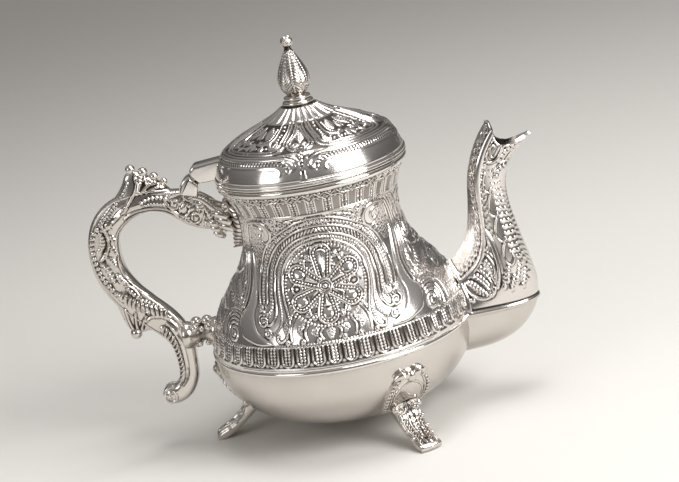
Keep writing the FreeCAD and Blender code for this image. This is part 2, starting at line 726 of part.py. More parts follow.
# Handle: a cast scroll lofted through ovals from the neck to the curled tail
UPPER_FIXING = "(waist_height + 2.5)"
HANDLE_STATIONS = [
    # x, z, half width in the scroll's plane
    ("0 - waist_radius - 1", f"{UPPER_FIXING} + 0.5", "5"),
    ("0 - waist_radius - 10.5", "arm_height - 8.4", "bow_half_width - 0.8"),
    ("0 - waist_radius - 17.6", "arm_height - 4", "bow_half_width + 0.6"),
    ("0 - seam_radius - 5.9", "arm_height + 0.5", "bow_half_width - 1.5"),
    ("0 - seam_radius - 15", "arm_height + 2.3", "bow_half_width - 2.4"),
    ("0 - seam_radius - grip_reach + 11.9", "arm_height + 1", "bow_half_width - 1.1"),
    ("0 - seam_radius - grip_reach + 3.3", "arm_height - 5.2", "bow_half_width - 0.4"),
    ("0 - seam_radius - grip_reach", "arm_height - 17", "bow_half_width"),
    ("0 - seam_radius - grip_reach + 1.4", "seam_height + 37.7", "bow_half_width"),
    ("0 - seam_radius - grip_reach + 6.1", "seam_height + 28.7", "bow_half_width - 0.1"),
    ("0 - seam_radius - 24.3", "seam_height + 20.8", "bow_half_width - 0.2"),
    ("0 - seam_radius - 17.8", "seam_height + 14", "bow_half_width - 0.7"),
    ("0 - seam_radius - 13.6", "seam_height + 6.5", "tail_half_width + 1"),
    ("0 - seam_radius - 12.8", "seam_height - 2.7", "tail_half_width + 0.2"),
    ("0 - seam_radius - 13.6", "seam_height - tail_drop + 7", "tail_half_width"),
    ("0 - seam_radius - 17", "seam_height - tail_drop + 1.6", "tail_half_width"),
    ("0 - seam_radius - 21.9", "seam_height - tail_drop", "tail_half_width"),
]


def handle_ovals():
    """Sets an oval across the handle at each station, square to the scroll's centre line."""
    centres = [FreeCAD.Vector(value(x), 0, value(z)) for x, z, _ in HANDLE_STATIONS]
    line = Part.BSplineCurve()
    line.interpolate(centres)
    ovals = []
    for count, (x, z, half_width) in enumerate(HANDLE_STATIONS):
        tangent = FreeCAD.Vector(*line.tangent(line.parameter(centres[count]))[0])
        across = tangent.cross(FreeCAD.Vector(0, 1, 0))
        oval = doc.addObject("Part::Ellipse", f"handle_oval_{count}")
        oval.setExpression("MajorRadius", bound(half_width))
        oval.setExpression("MinorRadius", bound(f"min(handle_half_thickness; 0.98 * ({half_width}))"))
        turn = FreeCAD.Rotation(across, FreeCAD.Vector(0, 1, 0), FreeCAD.Vector(), "XYZ")
        oval.Placement = FreeCAD.Placement(FreeCAD.Vector(), turn)
        ovals.append(place(oval, x, "0", z))
    return ovals


scroll = doc.addObject("Part::Loft", "scroll")
scroll.Sections = handle_ovals()
scroll.Solid = True
scroll.Ruled = False
curl = ball("curl", "tail_half_width + 0.4", "0 - seam_radius - 22.3", "seam_height - tail_drop")
spur_ball = ball("spur_ball", "spur_radius", "0 - seam_radius - grip_reach + 5.3", "seam_height + 12")
CREST_X = "(0 - seam_radius - grip_reach + 12)"
CREST_Z = "(arm_height + 4)"
crest_outline = outline(
    [
        (f"{CREST_X} + 2.6", f"{CREST_Z} + 0.4 * crest_height"),
        (f"{CREST_X} + 3.4", f"{CREST_Z} + 0.85 * crest_height"),
        (f"{CREST_X} + 6", f"{CREST_Z} + crest_height"),
        (f"{CREST_X} + 11", f"{CREST_Z} + 0.8 * crest_height"),
        (f"{CREST_X} + 18", f"{CREST_Z} + 0.4 * crest_height"),
        (f"{CREST_X} + 20", f"{CREST_Z} + 0.05 * crest_height"),
    ],
    [(f"{CREST_X} + 10", f"{CREST_Z} - 1")],
    [(CREST_X, CREST_Z)],
)
crest = padded("crest", "XZ_Plane", crest_outline, "crest_thickness")
SPUR_X = "(0 - seam_radius - grip_reach)"
spur_outline = outline(
    [
        (f"{SPUR_X} + 1.8", "seam_height + 20"),
        (f"{SPUR_X} + 2.6", "seam_height + 16"),
        (f"{SPUR_X} + 3.6", "seam_height + 11"),
    ],
    [(f"{SPUR_X} + 7", "seam_height + 11.4")],
    [
        (f"{SPUR_X} + 9.5", "seam_height + 12.8"),
        (f"{SPUR_X} + 13", "seam_height + 12.6"),
        (f"{SPUR_X} + 17", "seam_height + 11"),
    ],
    [(f"{SPUR_X} + 0.4", "seam_height + 25")],
)
spur = padded("spur", "XZ_Plane", spur_outline, "crest_thickness")
crest_balls = [
    ball("crest_ball_1", "crest_ball_radius", f"{CREST_X} + 5.8", f"{CREST_Z} + crest_height"),
    ball("crest_ball_2", "crest_ball_radius", f"{CREST_X} + 10.6", f"{CREST_Z} + 0.84 * crest_height"),
    ball("crest_ball_3", "0.9 * crest_ball_radius", f"{CREST_X} + 14.8", f"{CREST_Z} + 0.64 * crest_height"),
    ball("crest_ball_4", "0.7 * crest_ball_radius", f"{CREST_X} + 18.5", f"{CREST_Z} + 0.42 * crest_height"),
]
casting = fused("casting", scroll, curl, spur, spur_ball, crest, *crest_balls)

# Plates and screws that carry the handle
plate_shell = cut("plate_shell", round_form("plate_form", body_curve("plate_thickness")), body_form)
PLATE_LOW = "(waist_height - plate_height / 2)"
plate_block = block(
    "plate_block",
    ("0 - shoulder_radius", "0 - plate_half_width", PLATE_LOW),
    ("0 - waist_radius / 2", "plate_half_width", f"{PLATE_LOW} + plate_height"),
)
plate_blank = common("plate_blank", plate_shell, plate_block)
BRACKET_Z = "flank_height"
BRACKET_ROOT = "(3 - flank_radius)"
BRACKET_END = "(0 - flank_radius - 13)"
bracket_outline = outline(
    [(BRACKET_ROOT, "bracket_radius")],
    [
        ("0 - flank_radius - 3", "bracket_waist + 1"),
        ("0 - flank_radius - 6", "bracket_waist"),
        ("0 - flank_radius - 9", "bracket_waist + 1"),
        (BRACKET_END, "bracket_radius"),
    ],
    [(BRACKET_END, SCREW_HOLE)],
    [(BRACKET_ROOT, SCREW_HOLE)],
)
bracket_turned = turned("bracket_turned", bracket_outline, axis="H_Axis")
bracket_turned.setExpression("Placement.Base.z", bound(BRACKET_Z))
ALONG_BACK = FreeCAD.Rotation(FreeCAD.Vector(0, 1, 0), -90)
SCREW_LENGTH = "(wall + plate_thickness + handle_screw_bite)"
FIXINGS = {
    # wall radius, height, how far the wall leans in across the head, length
    "upper": ("waist_radius", UPPER_FIXING, "screw_clearance", SCREW_LENGTH),
    "lower": ("flank_radius", BRACKET_Z, "flank_lean", f"({SCREW_LENGTH} + 8)"),
}
screws = []
holes = []
for where, (wall_radius, height, lean, length) in FIXINGS.items():
    seat = f"0 - ({wall_radius} - wall - screw_clearance - {lean})"
    head_start = f"{seat} + screw_head_height"
    shank = cylinder(f"{where}_shank", "screw_radius", length, ALONG_BACK, seat, "0", height)
    head = cylinder(
        f"{where}_head", "screw_head_radius", "screw_head_height", ALONG_BACK, head_start, "0", height
    )
    screws.append(fused(f"{where}_screw", shank, head))
    holes.append(cylinder(f"{where}_hole", SCREW_HOLE, f"{length} + 0.5", ALONG_BACK, seat, "0", height))
upper_body = cut("upper_body", wall_shape, *holes)
handle = cut("handle", casting, pot_form, plate_blank, *holes)
handle_upper_plate = cut("handle_upper_plate", plate_blank, holes[0])
BALLS_HIGH = f"{BRACKET_Z} + 0.9 * bracket_radius"
BALLS_LOW = f"{BRACKET_Z} - 0.72 * bracket_radius"
bracket_balls = [
    ball("bracket_ball_1", "bracket_ball_radius", "0 - flank_radius - 6.8", BALLS_HIGH),
    ball("bracket_ball_2", "bracket_ball_radius", "0 - flank_radius - 2.2", BALLS_HIGH),
    ball("bracket_ball_3", "0.6 * bracket_ball_radius", "0 - flank_radius - 7.2", BALLS_LOW),
    ball("bracket_ball_4", "0.6 * bracket_ball_radius", "0 - flank_radius - 3.2", BALLS_LOW),
]
bracket_casting = fused("bracket_casting", bracket_turned, *bracket_balls)
handle_lower_bracket = cut("handle_lower_bracket", bracket_casting, pot_form, casting, seam_ring)
handle_screws = doc.addObject("Part::Compound", "handle_screws")
handle_screws.Links = screws

# Lug on the handle's arm, with the tongue that the pin passes through
LUG_BACK = (f"{HINGE_X} - 9", "arm_height + 3.2")
LUG_TIP = (f"{HINGE_X} - 0.96 * {SLOT_RADIUS}", f"{HINGE_Z} - 0.28 * {SLOT_RADIUS}")
lug_outline = outline(
    [(f"{HINGE_X} - 6.6", f"{HINGE_Z} - 2.4"), LUG_TIP],
    [(f"{HINGE_X} - 0.8 * {SLOT_RADIUS} - 0.2", f"{HINGE_Z} - 0.6 * {SLOT_RADIUS} - 0.2")],
    [(f"{HINGE_X} - 0.4", f"{ARM_LOW} - 0.3")],
    [(f"{HINGE_X} - 1.5", "arm_height + 1")],
    [LUG_BACK],
)
lug_blank = padded("lug_blank", "XZ_Plane", lug_outline, "arm_width")
TONGUE_RADIUS = "(knuckle_radius - hinge_clearance)"
TONGUE_SIDE = "0 - tongue_width / 2"
tongue_disc = cylinder("tongue_disc", TONGUE_RADIUS, "tongue_width", ALONG_Y, HINGE_X, TONGUE_SIDE, HINGE_Z)
web_outline = outline(
    [(f"{HINGE_X} - {SLOT_RADIUS} - 0.6", f"{HINGE_Z} - 1.2")],
    [(f"{HINGE_X} - 2", f"{ARM_LOW} + 0.6")],
    [(f"{HINGE_X} - 0.2", f"{HINGE_Z} - 2.4")],
    [(f"{HINGE_X} - 0.5", f"{HINGE_Z} - 0.2")],
)
tongue_web = padded("tongue_web", "XZ_Plane", web_outline, "tongue_width")
PIN_HOLE = "pin_radius + pin_clearance"
pin_hole = cylinder("pin_hole", PIN_HOLE, "2 * arm_width", ALONG_Y, HINGE_X, "0 - arm_width", HINGE_Z)
hinge_lug = cut("hinge_lug", fused("lug_casting", lug_blank, tongue_disc, tongue_web), pin_hole, casting)

# Feet: a splayed leg under a shield that hugs the bowl, cast as one
shield_shell = cut("shield_shell", round_form("shield_form", bowl_curve("shield_thickness")), bowl_form)
SOLE_BACK = "(foot_reach - sole_length)"
LEG_ROOT = "(bottom_radius - 8)"
LEG_SIDE = outline(
    [("bottom_radius", "bottom_height - 0.5")],
    [
        ("bottom_radius + 4", "0.55 * bottom_height"),
        ("foot_reach - 5.7", "0.3 * bottom_height"),
        ("foot_reach", "2.2"),
    ],
    [("foot_reach", "0")],
    [(SOLE_BACK, "0")],
    [
        ("foot_reach - 9.7", "0.2 * bottom_height"),
        ("bottom_radius", "0.48 * bottom_height"),
        (LEG_ROOT, "bottom_height - 6"),
    ],
    [(LEG_ROOT, "bottom_height - 1")],
)
SHIELD_SIDE = [
    ("sole_half_width", "0"),
    ("sole_half_width + 1.6", "6"),
    ("0.84 * shield_half_width", "12"),
    ("shield_half_width", "0.6 * shield_top"),
    ("0.94 * shield_half_width", "0.8 * shield_top"),
    ("0.55 * shield_half_width", "0.96 * shield_top"),
    ("0", "shield_top"),
]


def foot(name, degrees):
    """Builds one foot under the bowl and turns it about the pot's axis."""
    turn = FreeCAD.Rotation(FreeCAD.Vector(0, 0, 1), degrees)
    side = padded(f"{name}_side", "XZ_Plane", LEG_SIDE, "3 * shield_half_width")
    front = new_body(f"{name}_front")
    pad = front.newObject("PartDesign::Pad", f"{name}_front_pad")
    mirrored = [(f"0 - {y}", z) for y, z in reversed(SHIELD_SIDE[:-1])]
    arch = outline([*SHIELD_SIDE[1:], *mirrored], [SHIELD_SIDE[0]])
    clear_of_base = FreeCAD.Placement(FreeCAD.Vector(0, 0, value(LEG_ROOT)), FreeCAD.Rotation())
    pad.Profile = draw(front, f"{name}_front_outline", "YZ_Plane", arch, clear_of_base)
    pad.setExpression("Length", bound("foot_reach"))
    for piece in (side, front):
        piece.Placement = FreeCAD.Placement(FreeCAD.Vector(), turn)
    leg = cut(f"{name}_leg", common(f"{name}_blank", side, front), bowl_form)
    shield = common(f"{name}_shield", shield_shell, front)
    return fused(name, leg, shield)


feet = [foot(name, degrees) for name, degrees in FOOT_TURNS.items()]

NODES = {
    "upper_body": upper_body,
    "lower_bowl": lower_bowl,
    "seam_ring": seam_ring,
    "neck_rim": neck_rim,
    "spout_upper": spout_upper,
    "spout_belly": spout_belly,
    "handle": handle,
    "handle_upper_plate": handle_upper_plate,
    "handle_lower_bracket": handle_lower_bracket,
    "handle_screws": handle_screws,
    "hinge_lug": hinge_lug,
    "hinge_pin": hinge_pin,
    "lid_arm": lid_arm,
    "lid_dome": lid_dome,
    "lid_flange": lid_flange,
    "lid_sleeve": lid_sleeve,
    "knob_collar": knob_collar,
    "knob": knob,
    "knob_washer": knob_washer,
    "knob_screw": knob_screw,
    **dict(zip(FOOT_TURNS, feet)),
}

doc.recompute()
for piece in doc.Objects:
    faults = {"Invalid", "Error"} & set(piece.State)
    assert not faults, f"{piece.Name} failed: {piece.State}"
for name, piece in NODES.items():
    piece.Label = name
    assert not piece.Shape.isNull() and piece.Shape.isValid(), f"{name} has no valid shape"
os.makedirs("parts", exist_ok=True)
for name, piece in NODES.items():
    piece.Shape.exportStep(f"parts/{name}.step")
    print(name, len(piece.Shape.Solids), round(piece.Shape.Volume), piece.Shape.BoundBox)
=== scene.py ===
"""A footed silver-plated teapot: chased body, hinged lid, beak spout and cast scroll handle."""
import logging
import math
from dataclasses import dataclass
from enum import Enum
from typing import Callable, Sequence

import bmesh
import bpy
import numpy as np
from mathutils import Matrix, Vector


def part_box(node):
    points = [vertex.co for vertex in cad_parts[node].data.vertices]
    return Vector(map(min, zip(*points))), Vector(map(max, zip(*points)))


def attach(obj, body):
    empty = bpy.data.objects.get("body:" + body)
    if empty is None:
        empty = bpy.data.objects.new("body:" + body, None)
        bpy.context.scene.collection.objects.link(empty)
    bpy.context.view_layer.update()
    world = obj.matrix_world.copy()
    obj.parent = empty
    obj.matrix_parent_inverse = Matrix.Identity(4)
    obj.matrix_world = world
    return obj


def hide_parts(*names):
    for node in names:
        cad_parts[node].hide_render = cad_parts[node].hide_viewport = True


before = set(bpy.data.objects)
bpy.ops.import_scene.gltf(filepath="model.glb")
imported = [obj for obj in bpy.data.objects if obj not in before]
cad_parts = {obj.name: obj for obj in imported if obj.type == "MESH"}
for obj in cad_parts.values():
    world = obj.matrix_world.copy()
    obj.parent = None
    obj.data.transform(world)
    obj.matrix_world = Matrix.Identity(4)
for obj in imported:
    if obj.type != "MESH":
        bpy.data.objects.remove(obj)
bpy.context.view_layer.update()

MM = 0.001
TURN = 2 * math.pi
LOG = logging.getLogger("teapot")
FLANGE_LOW, FLANGE_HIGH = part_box("lid_flange")
AXIS_X = (FLANGE_LOW.x + FLANGE_HIGH.x) / 2 / MM
Points = np.ndarray
Pairs = Sequence[tuple[float, ...]]
Rows = Sequence[tuple]
# the chased sides were drawn as they are seen from a little above: enlarged, and lower where they bulge
SEEN_SCALE, SEEN_DROP, SEEN_RISE = 1.0125, 0.27, 0.5
# edges sharper than this stay crisp
CRISP = math.radians(40.0)


class Slot(Enum):
    """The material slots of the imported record."""

    RELIEF = "relief_plate"
    PLAIN = "plain_plate"
    TRIM = "polished_trim"
    CAST = "cast_scroll"
    STEEL = "steel_fixing"


# Curves, in millimetres
def lengths(curve: Points) -> Points:
    """Tells how far along a curve each of its samples lies."""
    return np.r_[0, np.cumsum(np.linalg.norm(np.diff(curve, axis=0), axis=1))]


def outward(curve: Points) -> Points:
    """Gives the direction to the right of a plane curve at each of its samples."""
    slope = np.gradient(curve, axis=0)
    slope /= np.linalg.norm(slope, axis=1)[:, None]
    return np.c_[slope[:, 1], -slope[:, 0]]


def smooth_curve(knots: Pairs, spacing: float = 0.5) -> Points:
    """Runs a smooth cubic curve through knots.

    Args:
        knots: points the curve passes through, in order, each of two or three lengths.
        spacing: about how far apart its samples lie.

    Returns:
        The samples as rows.
    """
    knots = np.array(knots, float)
    places = lengths(knots)
    count = max(3, int(places[-1] / spacing) + 1)
    return cubic(places, knots, np.linspace(0, places[-1], count))


def cubic(places: Points, values: Points, wanted: Points) -> Points:
    """Interpolates values by a cubic spline whose two outer spans share one cubic at each end.

    Args:
        places: where the values are given, rising.
        values: one row for each place.
        wanted: where the spline is read.

    Returns:
        One row for each wanted place.
    """
    values = np.array(values, float).reshape(len(places), -1)
    last = len(places) - 1
    step = np.diff(places)
    slope = np.diff(values, axis=0) / step[:, None]
    matrix = np.zeros((last + 1, last + 1))
    right = np.zeros_like(values)
    for i in range(1, last):
        matrix[i, i - 1:i + 2] = step[i], 2 * (step[i] + step[i - 1]), step[i - 1]
        right[i] = 3 * (step[i] * slope[i - 1] + step[i - 1] * slope[i])
    if last == 1:
        matrix[:] = np.eye(2)
        right[:] = slope[0]
    elif last == 2:
        matrix[0, :2] = 2, 1
        right[0] = 3 * slope[0]
        matrix[2, 1:] = 1, 2
        right[2] = 3 * slope[1]
    else:
        for row, near, far, order in ((0, 0, 1, 1), (last, last - 1, last - 2, -1)):
            both = step[near] + step[far]
            matrix[row, row] = step[far]
            matrix[row, row + order] = both
            lead = (step[near] + 2 * both) * step[far] * slope[near]
            right[row] = (lead + step[near] ** 2 * slope[far]) / both
    tangent = np.linalg.solve(matrix, right)
    span = np.clip(np.searchsorted(places, wanted, side="right") - 1, 0, last - 1)
    width = step[span][:, None]
    t = (wanted - places[span])[:, None] / width
    return (
        (2 * t**3 - 3 * t**2 + 1) * values[span]
        + (t**3 - 2 * t**2 + t) * width * tangent[span]
        + (3 * t**2 - 2 * t**3) * values[span + 1]
        + (t**3 - t**2) * width * tangent[span + 1]
    )


def arc(
    centre: tuple[float, float], radii: tuple[float, float], start: float, stop: float, count: int,
) -> Points:
    """Follows the edge of an upright oval.

    Args:
        centre: its middle.
        radii: how far it reaches across and up.
        start: angle where the arc starts, in radians from outwards to up.
        stop: angle where it ends.
        count: how many points it has.

    Returns:
        The points as rows.
    """
    turn = np.linspace(start, stop, count)
    return np.c_[centre[0] + radii[0] * np.cos(turn), centre[1] + radii[1] * np.sin(turn)]


def spiral(
    centre: tuple[float, float], outer: float, turns: float, start: float, inner: float = 0.35,
) -> Points:
    """Winds a spiral inwards.

    Args:
        centre: its middle.
        outer: radius where it starts.
        turns: how often it winds, negative for clockwise.
        start: angle where it starts, in degrees.
        inner: radius where it ends.

    Returns:
        Samples along the spiral.
    """
    t = np.linspace(0, 1, int(26 * abs(turns)) + 3)
    angle = math.radians(start) + TURN * turns * t
    radius = outer + (inner - outer) * t
    return np.c_[centre[0] + radius * np.cos(angle), centre[1] + radius * np.sin(angle)]


def mirrored(curve: Points) -> Points:
    """Reflects a plane curve to the other side of the upright middle line."""
    return curve * [-1, 1]


def ease(low: float, high: float, x: Points) -> Points:
    """Rises smoothly from 0 at low to 1 at high."""
    t = np.clip((x - low) / (high - low), 0, 1)
    return t * t * (3 - 2 * t)


def folded(x: Points, pitch: float) -> Points:
    """Gives the offset from the nearest of marks that repeat at a pitch."""
    return (x + pitch / 2) % pitch - pitch / 2


def rounded(off: Points, half: float) -> Points:
    """Gives a round section: 1 on its middle, 0 from half its width outwards."""
    return np.sqrt(np.clip(1 - (off / half) ** 2, 0, None))


def as_seen(x: Points, y: Points, z: Points) -> tuple[Points, Points]:
    """Gives the two lengths by which the chasing of spout and handle is drawn."""
    return x / SEEN_SCALE, z - SEEN_DROP * np.abs(y) - SEEN_RISE


def course(path: Pairs | Points) -> Points:
    """Gives samples along a path: knots are joined by a smooth curve, samples stay as they are."""
    return path if isinstance(path, np.ndarray) else smooth_curve(path)


class Relief:
    """Chased work on a surface: a height in millimetres at each of many points given by two lengths."""

    def __init__(self, across: Points, up: Points) -> None:
        """Starts from a flat ground."""
        self.points = np.c_[across, up]
        self.height = np.zeros(len(across))

    def lift(self, where: Points, level: Points) -> None:
        """Raises the points to a level where they lie lower."""
        self.height[where] = np.maximum(self.height[where], level)

    def beside(self, path: Pairs | Points, reach: float) -> tuple[Points, Points, Points]:
        """Finds the points near a path.

        Args:
            path: its knots, or samples along it.
            reach: how far from it points still count.

        Returns:
            Their indices, their signed distances from it and how far along it they lie.
        """
        curve = course(path)
        inside = np.all((self.points > curve.min(0) - reach) & (self.points < curve.max(0) + reach), axis=1)
        index = np.flatnonzero(inside)
        pts = self.points[index]
        best = np.full(len(index), reach * reach)
        side = np.zeros(len(index))
        run = np.zeros(len(index))
        done = 0.0
        for start, end in zip(curve[:-1], curve[1:]):
            length = math.hypot(*(end - start))
            if length == 0:
                continue
            along = (end - start) / length
            low = np.minimum(start, end) - reach
            high = np.maximum(start, end) + reach
            close = np.flatnonzero(np.all((pts > low) & (pts < high), axis=1))
            rel = pts[close] - start
            t = np.clip(rel @ along, 0, length)
            gap = rel - t[:, None] * along
            square = (gap * gap).sum(1)
            nearer = square < best[close]
            hit = close[nearer]
            best[hit] = square[nearer]
            side[hit] = np.sign(along[0] * rel[nearer, 1] - along[1] * rel[nearer, 0])
            run[hit] = done + t[nearer]
            done += length
        found = best < reach * reach
        return index[found], (np.sqrt(best) * side)[found], run[found]

    def line(self, path: Pairs | Points, half_width: float, height: float) -> None:
        """Raises a rounded line along a path."""
        where, off, _ = self.beside(path, half_width)
        self.lift(where, height * rounded(off, half_width))

    def rope(self, path: Pairs | Points, half_width: float, height: float, pitch: float) -> None:
        """Raises a twisted cord along a path."""
        where, off, run = self.beside(path, half_width)
        twist = 0.55 + 0.45 * np.cos(TURN * (run / pitch + 0.45 * off / half_width))
        self.lift(where, height * rounded(off, half_width) * twist)

    def beads(self, path: Pairs | Points, radius: float, height: float, pitch: float) -> None:
        """Sets a row of round beads along a path."""
        where, off, run = self.beside(path, radius)
        self.lift(where, height * rounded(np.hypot(off, folded(run, pitch)), radius))

    def dot(self, centre: tuple[float, float], radius: float, height: float) -> None:
        """Raises one round boss."""
        inside = 1 - ((self.points - centre) ** 2).sum(1) / radius**2
        where = np.flatnonzero(inside > 0)
        self.lift(where, height * np.sqrt(inside[where]))

    def inside(self, outline: Points) -> Points:
        """Tells which points lie in a closed outline."""
        x, y = self.points.T
        result = np.zeros(len(x), bool)
        for (x0, y0), (x1, y1) in zip(outline, np.roll(outline, -1, axis=0)):
            if y0 == y1:
                continue
            crosses = (y0 > y) != (y1 > y)
            result ^= crosses & (x < (x1 - x0) * (y - y0) / (y1 - y0) + x0)
        return result

    def plain(self, outline: Points, height: float, shoulder: float) -> None:
        """Clears an outline to a smooth raised field that falls off over a shoulder at its edge."""
        where = np.flatnonzero(self.inside(outline))
        closed = np.vstack([outline, outline[:1]])
        near, off, _ = Relief(*self.points[where].T).beside(closed, shoulder)
        level = np.full(len(where), height)
        level[near] = height * rounded(shoulder - np.abs(off), shoulder)
        self.height[where] = level

    def leaf(self, stem: Pairs | Points, half_width: float, height: float, ribs: float) -> None:
        """Raises a pointed leaf about a stem, with slanting ribs either side of its vein."""
        stem = course(stem)
        where, off, run = self.beside(stem, half_width)
        share = np.clip(run / lengths(stem)[-1], 0.02, 0.98)
        body = rounded(off, np.maximum(half_width * np.sin(np.pi * share**0.75), 1e-3))
        rib = 0.6 + 0.4 * np.cos(TURN * (run - 0.8 * np.abs(off)) / ribs)
        vein = ease(0.0, 0.22, np.abs(off))
        self.lift(where, height * body * rib * (0.35 + 0.65 * vein))


# Meshes, drawn in millimetres about the pot's turning axis
def turned(section: Points, turn: Points) -> Points:
    """Sets radii and heights, in rows and columns, about the upright axis: each column at its own angle."""
    radius, level = section[..., 0], section[..., 1]
    return np.stack([radius * np.cos(turn), radius * np.sin(turn), level], axis=2)


def spun(profile: Points, steps: int, closed: bool = False) -> bmesh.types.BMesh:
    """Turns a profile of radii and heights about the upright axis.

    Args:
        profile: rows of radius and height.
        steps: how many steps the turn takes.
        closed: whether the profile runs back to its first point.

    Returns:
        The closed mesh, with poles and seams merged.
    """
    profile = np.asarray(profile, float)
    if closed:
        profile = np.vstack([profile, profile[:1]])
    shares = np.linspace(0, 1, len(profile))

    def shape(along: Points, around: Points) -> Points:
        """Bends the grid about the axis."""
        radius = np.interp(along, shares, profile[:, 0])
        turn = TURN * around
        return np.c_[radius * np.cos(turn), radius * np.sin(turn), np.interp(along, shares, profile[:, 1])]

    return sheet(shape, len(profile) - 1, steps)


def coordinates(mesh: bmesh.types.BMesh) -> Points:
    """Reads all vertex positions as rows."""
    return np.array([v.co[:] for v in mesh.verts])


def place(mesh: bmesh.types.BMesh, rows: Points) -> None:
    """Writes vertex positions back from rows."""
    for vert, row in zip(mesh.verts, rows):
        vert.co = row


def mark(mesh: bmesh.types.BMesh, recess: Points) -> None:
    """Stores how deep each vertex lies in the chased work, and so how much tarnish and painted shade it
    takes: from 0 on the crests to 1 on the ground.
    """
    layer = mesh.verts.layers.float.new("recess")
    for vert, value in zip(mesh.verts, recess):
        vert[layer] = value


def sealed(mesh: bmesh.types.BMesh) -> bmesh.types.BMesh:
    """Merges the edges of a bent grid that meet, fills its open ends and turns its faces outwards."""
    bmesh.ops.remove_doubles(mesh, verts=[v for v in mesh.verts if v.is_boundary], dist=1e-4)
    rim = [e for e in mesh.edges if e.is_boundary]
    if rim:
        bmesh.ops.holes_fill(mesh, edges=rim, sides=0)
    bmesh.ops.recalc_face_normals(mesh, faces=mesh.faces)
    return mesh


def sheet(shape: Callable[[Points, Points], Points], along: int, around: int) -> bmesh.types.BMesh:
    """Bends a flat grid onto a surface and closes it.

    Args:
        shape: gives the positions for two running shares from 0 to 1.
        along: how many faces run along the first share.
        around: how many run along the second.

    Returns:
        The closed mesh, with meeting edges merged, open ends filled and normals outwards.
    """
    mesh = bmesh.new()
    bmesh.ops.create_grid(mesh, x_segments=along, y_segments=around, size=0.5)
    flat = coordinates(mesh) + 0.5
    place(mesh, shape(np.clip(flat[:, 0], 0, 1), np.clip(flat[:, 1], 0, 1)))
    return sealed(mesh)


def woven(grid: Points, deep: Points) -> bmesh.types.BMesh:
    """Lays faces through a table of positions.

    Args:
        grid: positions in rows and columns; first and last rows or columns that coincide are merged.
        deep: how much tarnish and painted shade each of them holds.

    Returns:
        The closed mesh, with normals outwards.
    """
    rows, columns = grid.shape[:2]
    mesh = bmesh.new()
    bmesh.ops.create_grid(mesh, x_segments=rows - 1, y_segments=columns - 1, size=0.5)
    share = np.clip(coordinates(mesh) + 0.5, 0, 1)
    row = np.rint(share[:, 0] * (rows - 1)).astype(int)
    column = np.rint(share[:, 1] * (columns - 1)).astype(int)
    mark(mesh, deep[row, column])
    place(mesh, grid[row, column])
    return sealed(mesh)


def soften(height: Points) -> Points:
    """Rounds the steps of a relief in rows and columns over one cell, as wear and plating do."""
    for axis in (0, 1):
        margin = [(1, 1) if a == axis else (0, 0) for a in (0, 1)]
        wide = np.pad(height, margin, mode="edge")
        last = wide.shape[axis]
        before, after = wide.take(range(last - 2), axis), wide.take(range(2, last), axis)
        height = 0.64 * height + 0.18 * (before + after)
    return height


def creases(height: Points, cell: tuple[float, float], reach: float = 0.75) -> Points:
    """Tells where tarnish and painted shade go: in what lies lower than its surroundings.

    Args:
        height: the relief in rows and columns.
        cell: about how far rows and columns lie apart.
        reach: how wide the surroundings are.

    Returns:
        A value from 0 on crests and open ground to 1 in creases.
    """
    drop = 0.16  # how much lower a point lies that is wholly dark
    mean = height
    for axis in (0, 1):
        size = max(1, round(reach / cell[axis]))
        margin = [(size + 1, size) if a == axis else (0, 0) for a in (0, 1)]
        total = np.cumsum(np.pad(mean, margin, mode="edge"), axis=axis)
        count = 2 * size + 1
        ends = np.arange(count, total.shape[axis])
        mean = (total.take(ends, axis) - total.take(ends - count, axis)) / count
    return np.clip((mean - height) / drop, 0, 1)


def slab(outline: Pairs, half: float, soft: float) -> bmesh.types.BMesh:
    """Extrudes an outline in the pot's middle plane to both sides and rounds its edges.

    Args:
        outline: rows of x and z.
        half: half of its thickness.
        soft: radius of the rounded edges.

    Returns:
        The closed mesh.
    """
    mesh = bmesh.new()
    face = mesh.faces.new([mesh.verts.new((x, -half, z)) for x, z in outline])
    grown = bmesh.ops.extrude_face_region(mesh, geom=[face])
    moved = [v for v in grown["geom"] if isinstance(v, bmesh.types.BMVert)]
    bmesh.ops.translate(mesh, verts=moved, vec=(0, 2 * half, 0))
    bmesh.ops.recalc_face_normals(mesh, faces=mesh.faces)
    if soft:
        rims = [e for e in mesh.edges if abs(e.verts[0].co.y - e.verts[1].co.y) < 1e-6]
        bmesh.ops.bevel(mesh, geom=rims, offset=soft, segments=5, profile=0.5, affect="EDGES", material=-1)
    return mesh


def to_frame(mesh: bmesh.types.BMesh) -> None:
    """Takes a mesh from the pot's own millimetres to the metres of the shared frame."""
    move = Matrix.Scale(MM, 4) @ Matrix.Translation((AXIS_X, 0, 0))
    bmesh.ops.transform(mesh, matrix=move, verts=mesh.verts)


def carve(obj: bpy.types.Object, tool: bmesh.types.BMesh) -> None:
    """Cuts a shape, given in the pot's millimetres, out of a finished piece."""
    to_frame(tool)
    data = bpy.data.meshes.new("carving_tool")
    tool.to_mesh(data)
    tool.free()
    cutter = bpy.data.objects.new("carving_tool", data)
    bpy.context.scene.collection.objects.link(cutter)
    cut = obj.modifiers.new("carving", "BOOLEAN")
    cut.object = cutter
    cut.solver = "EXACT"
    bpy.context.view_layer.update()
    carved = bpy.data.meshes.new_from_object(obj.evaluated_get(bpy.context.evaluated_depsgraph_get()))
    obj.modifiers.clear()
    obj.data = carved
    bpy.data.objects.remove(cutter)


def globe(centre: tuple[float, float, float], radius: float, detail: int = 28) -> bmesh.types.BMesh:
    """Makes a ball."""
    mesh = bmesh.new()
    where = Matrix.Translation(Vector(centre))
    bmesh.ops.create_uvsphere(mesh, u_segments=detail, v_segments=detail // 2, radius=radius, matrix=where)
    return mesh


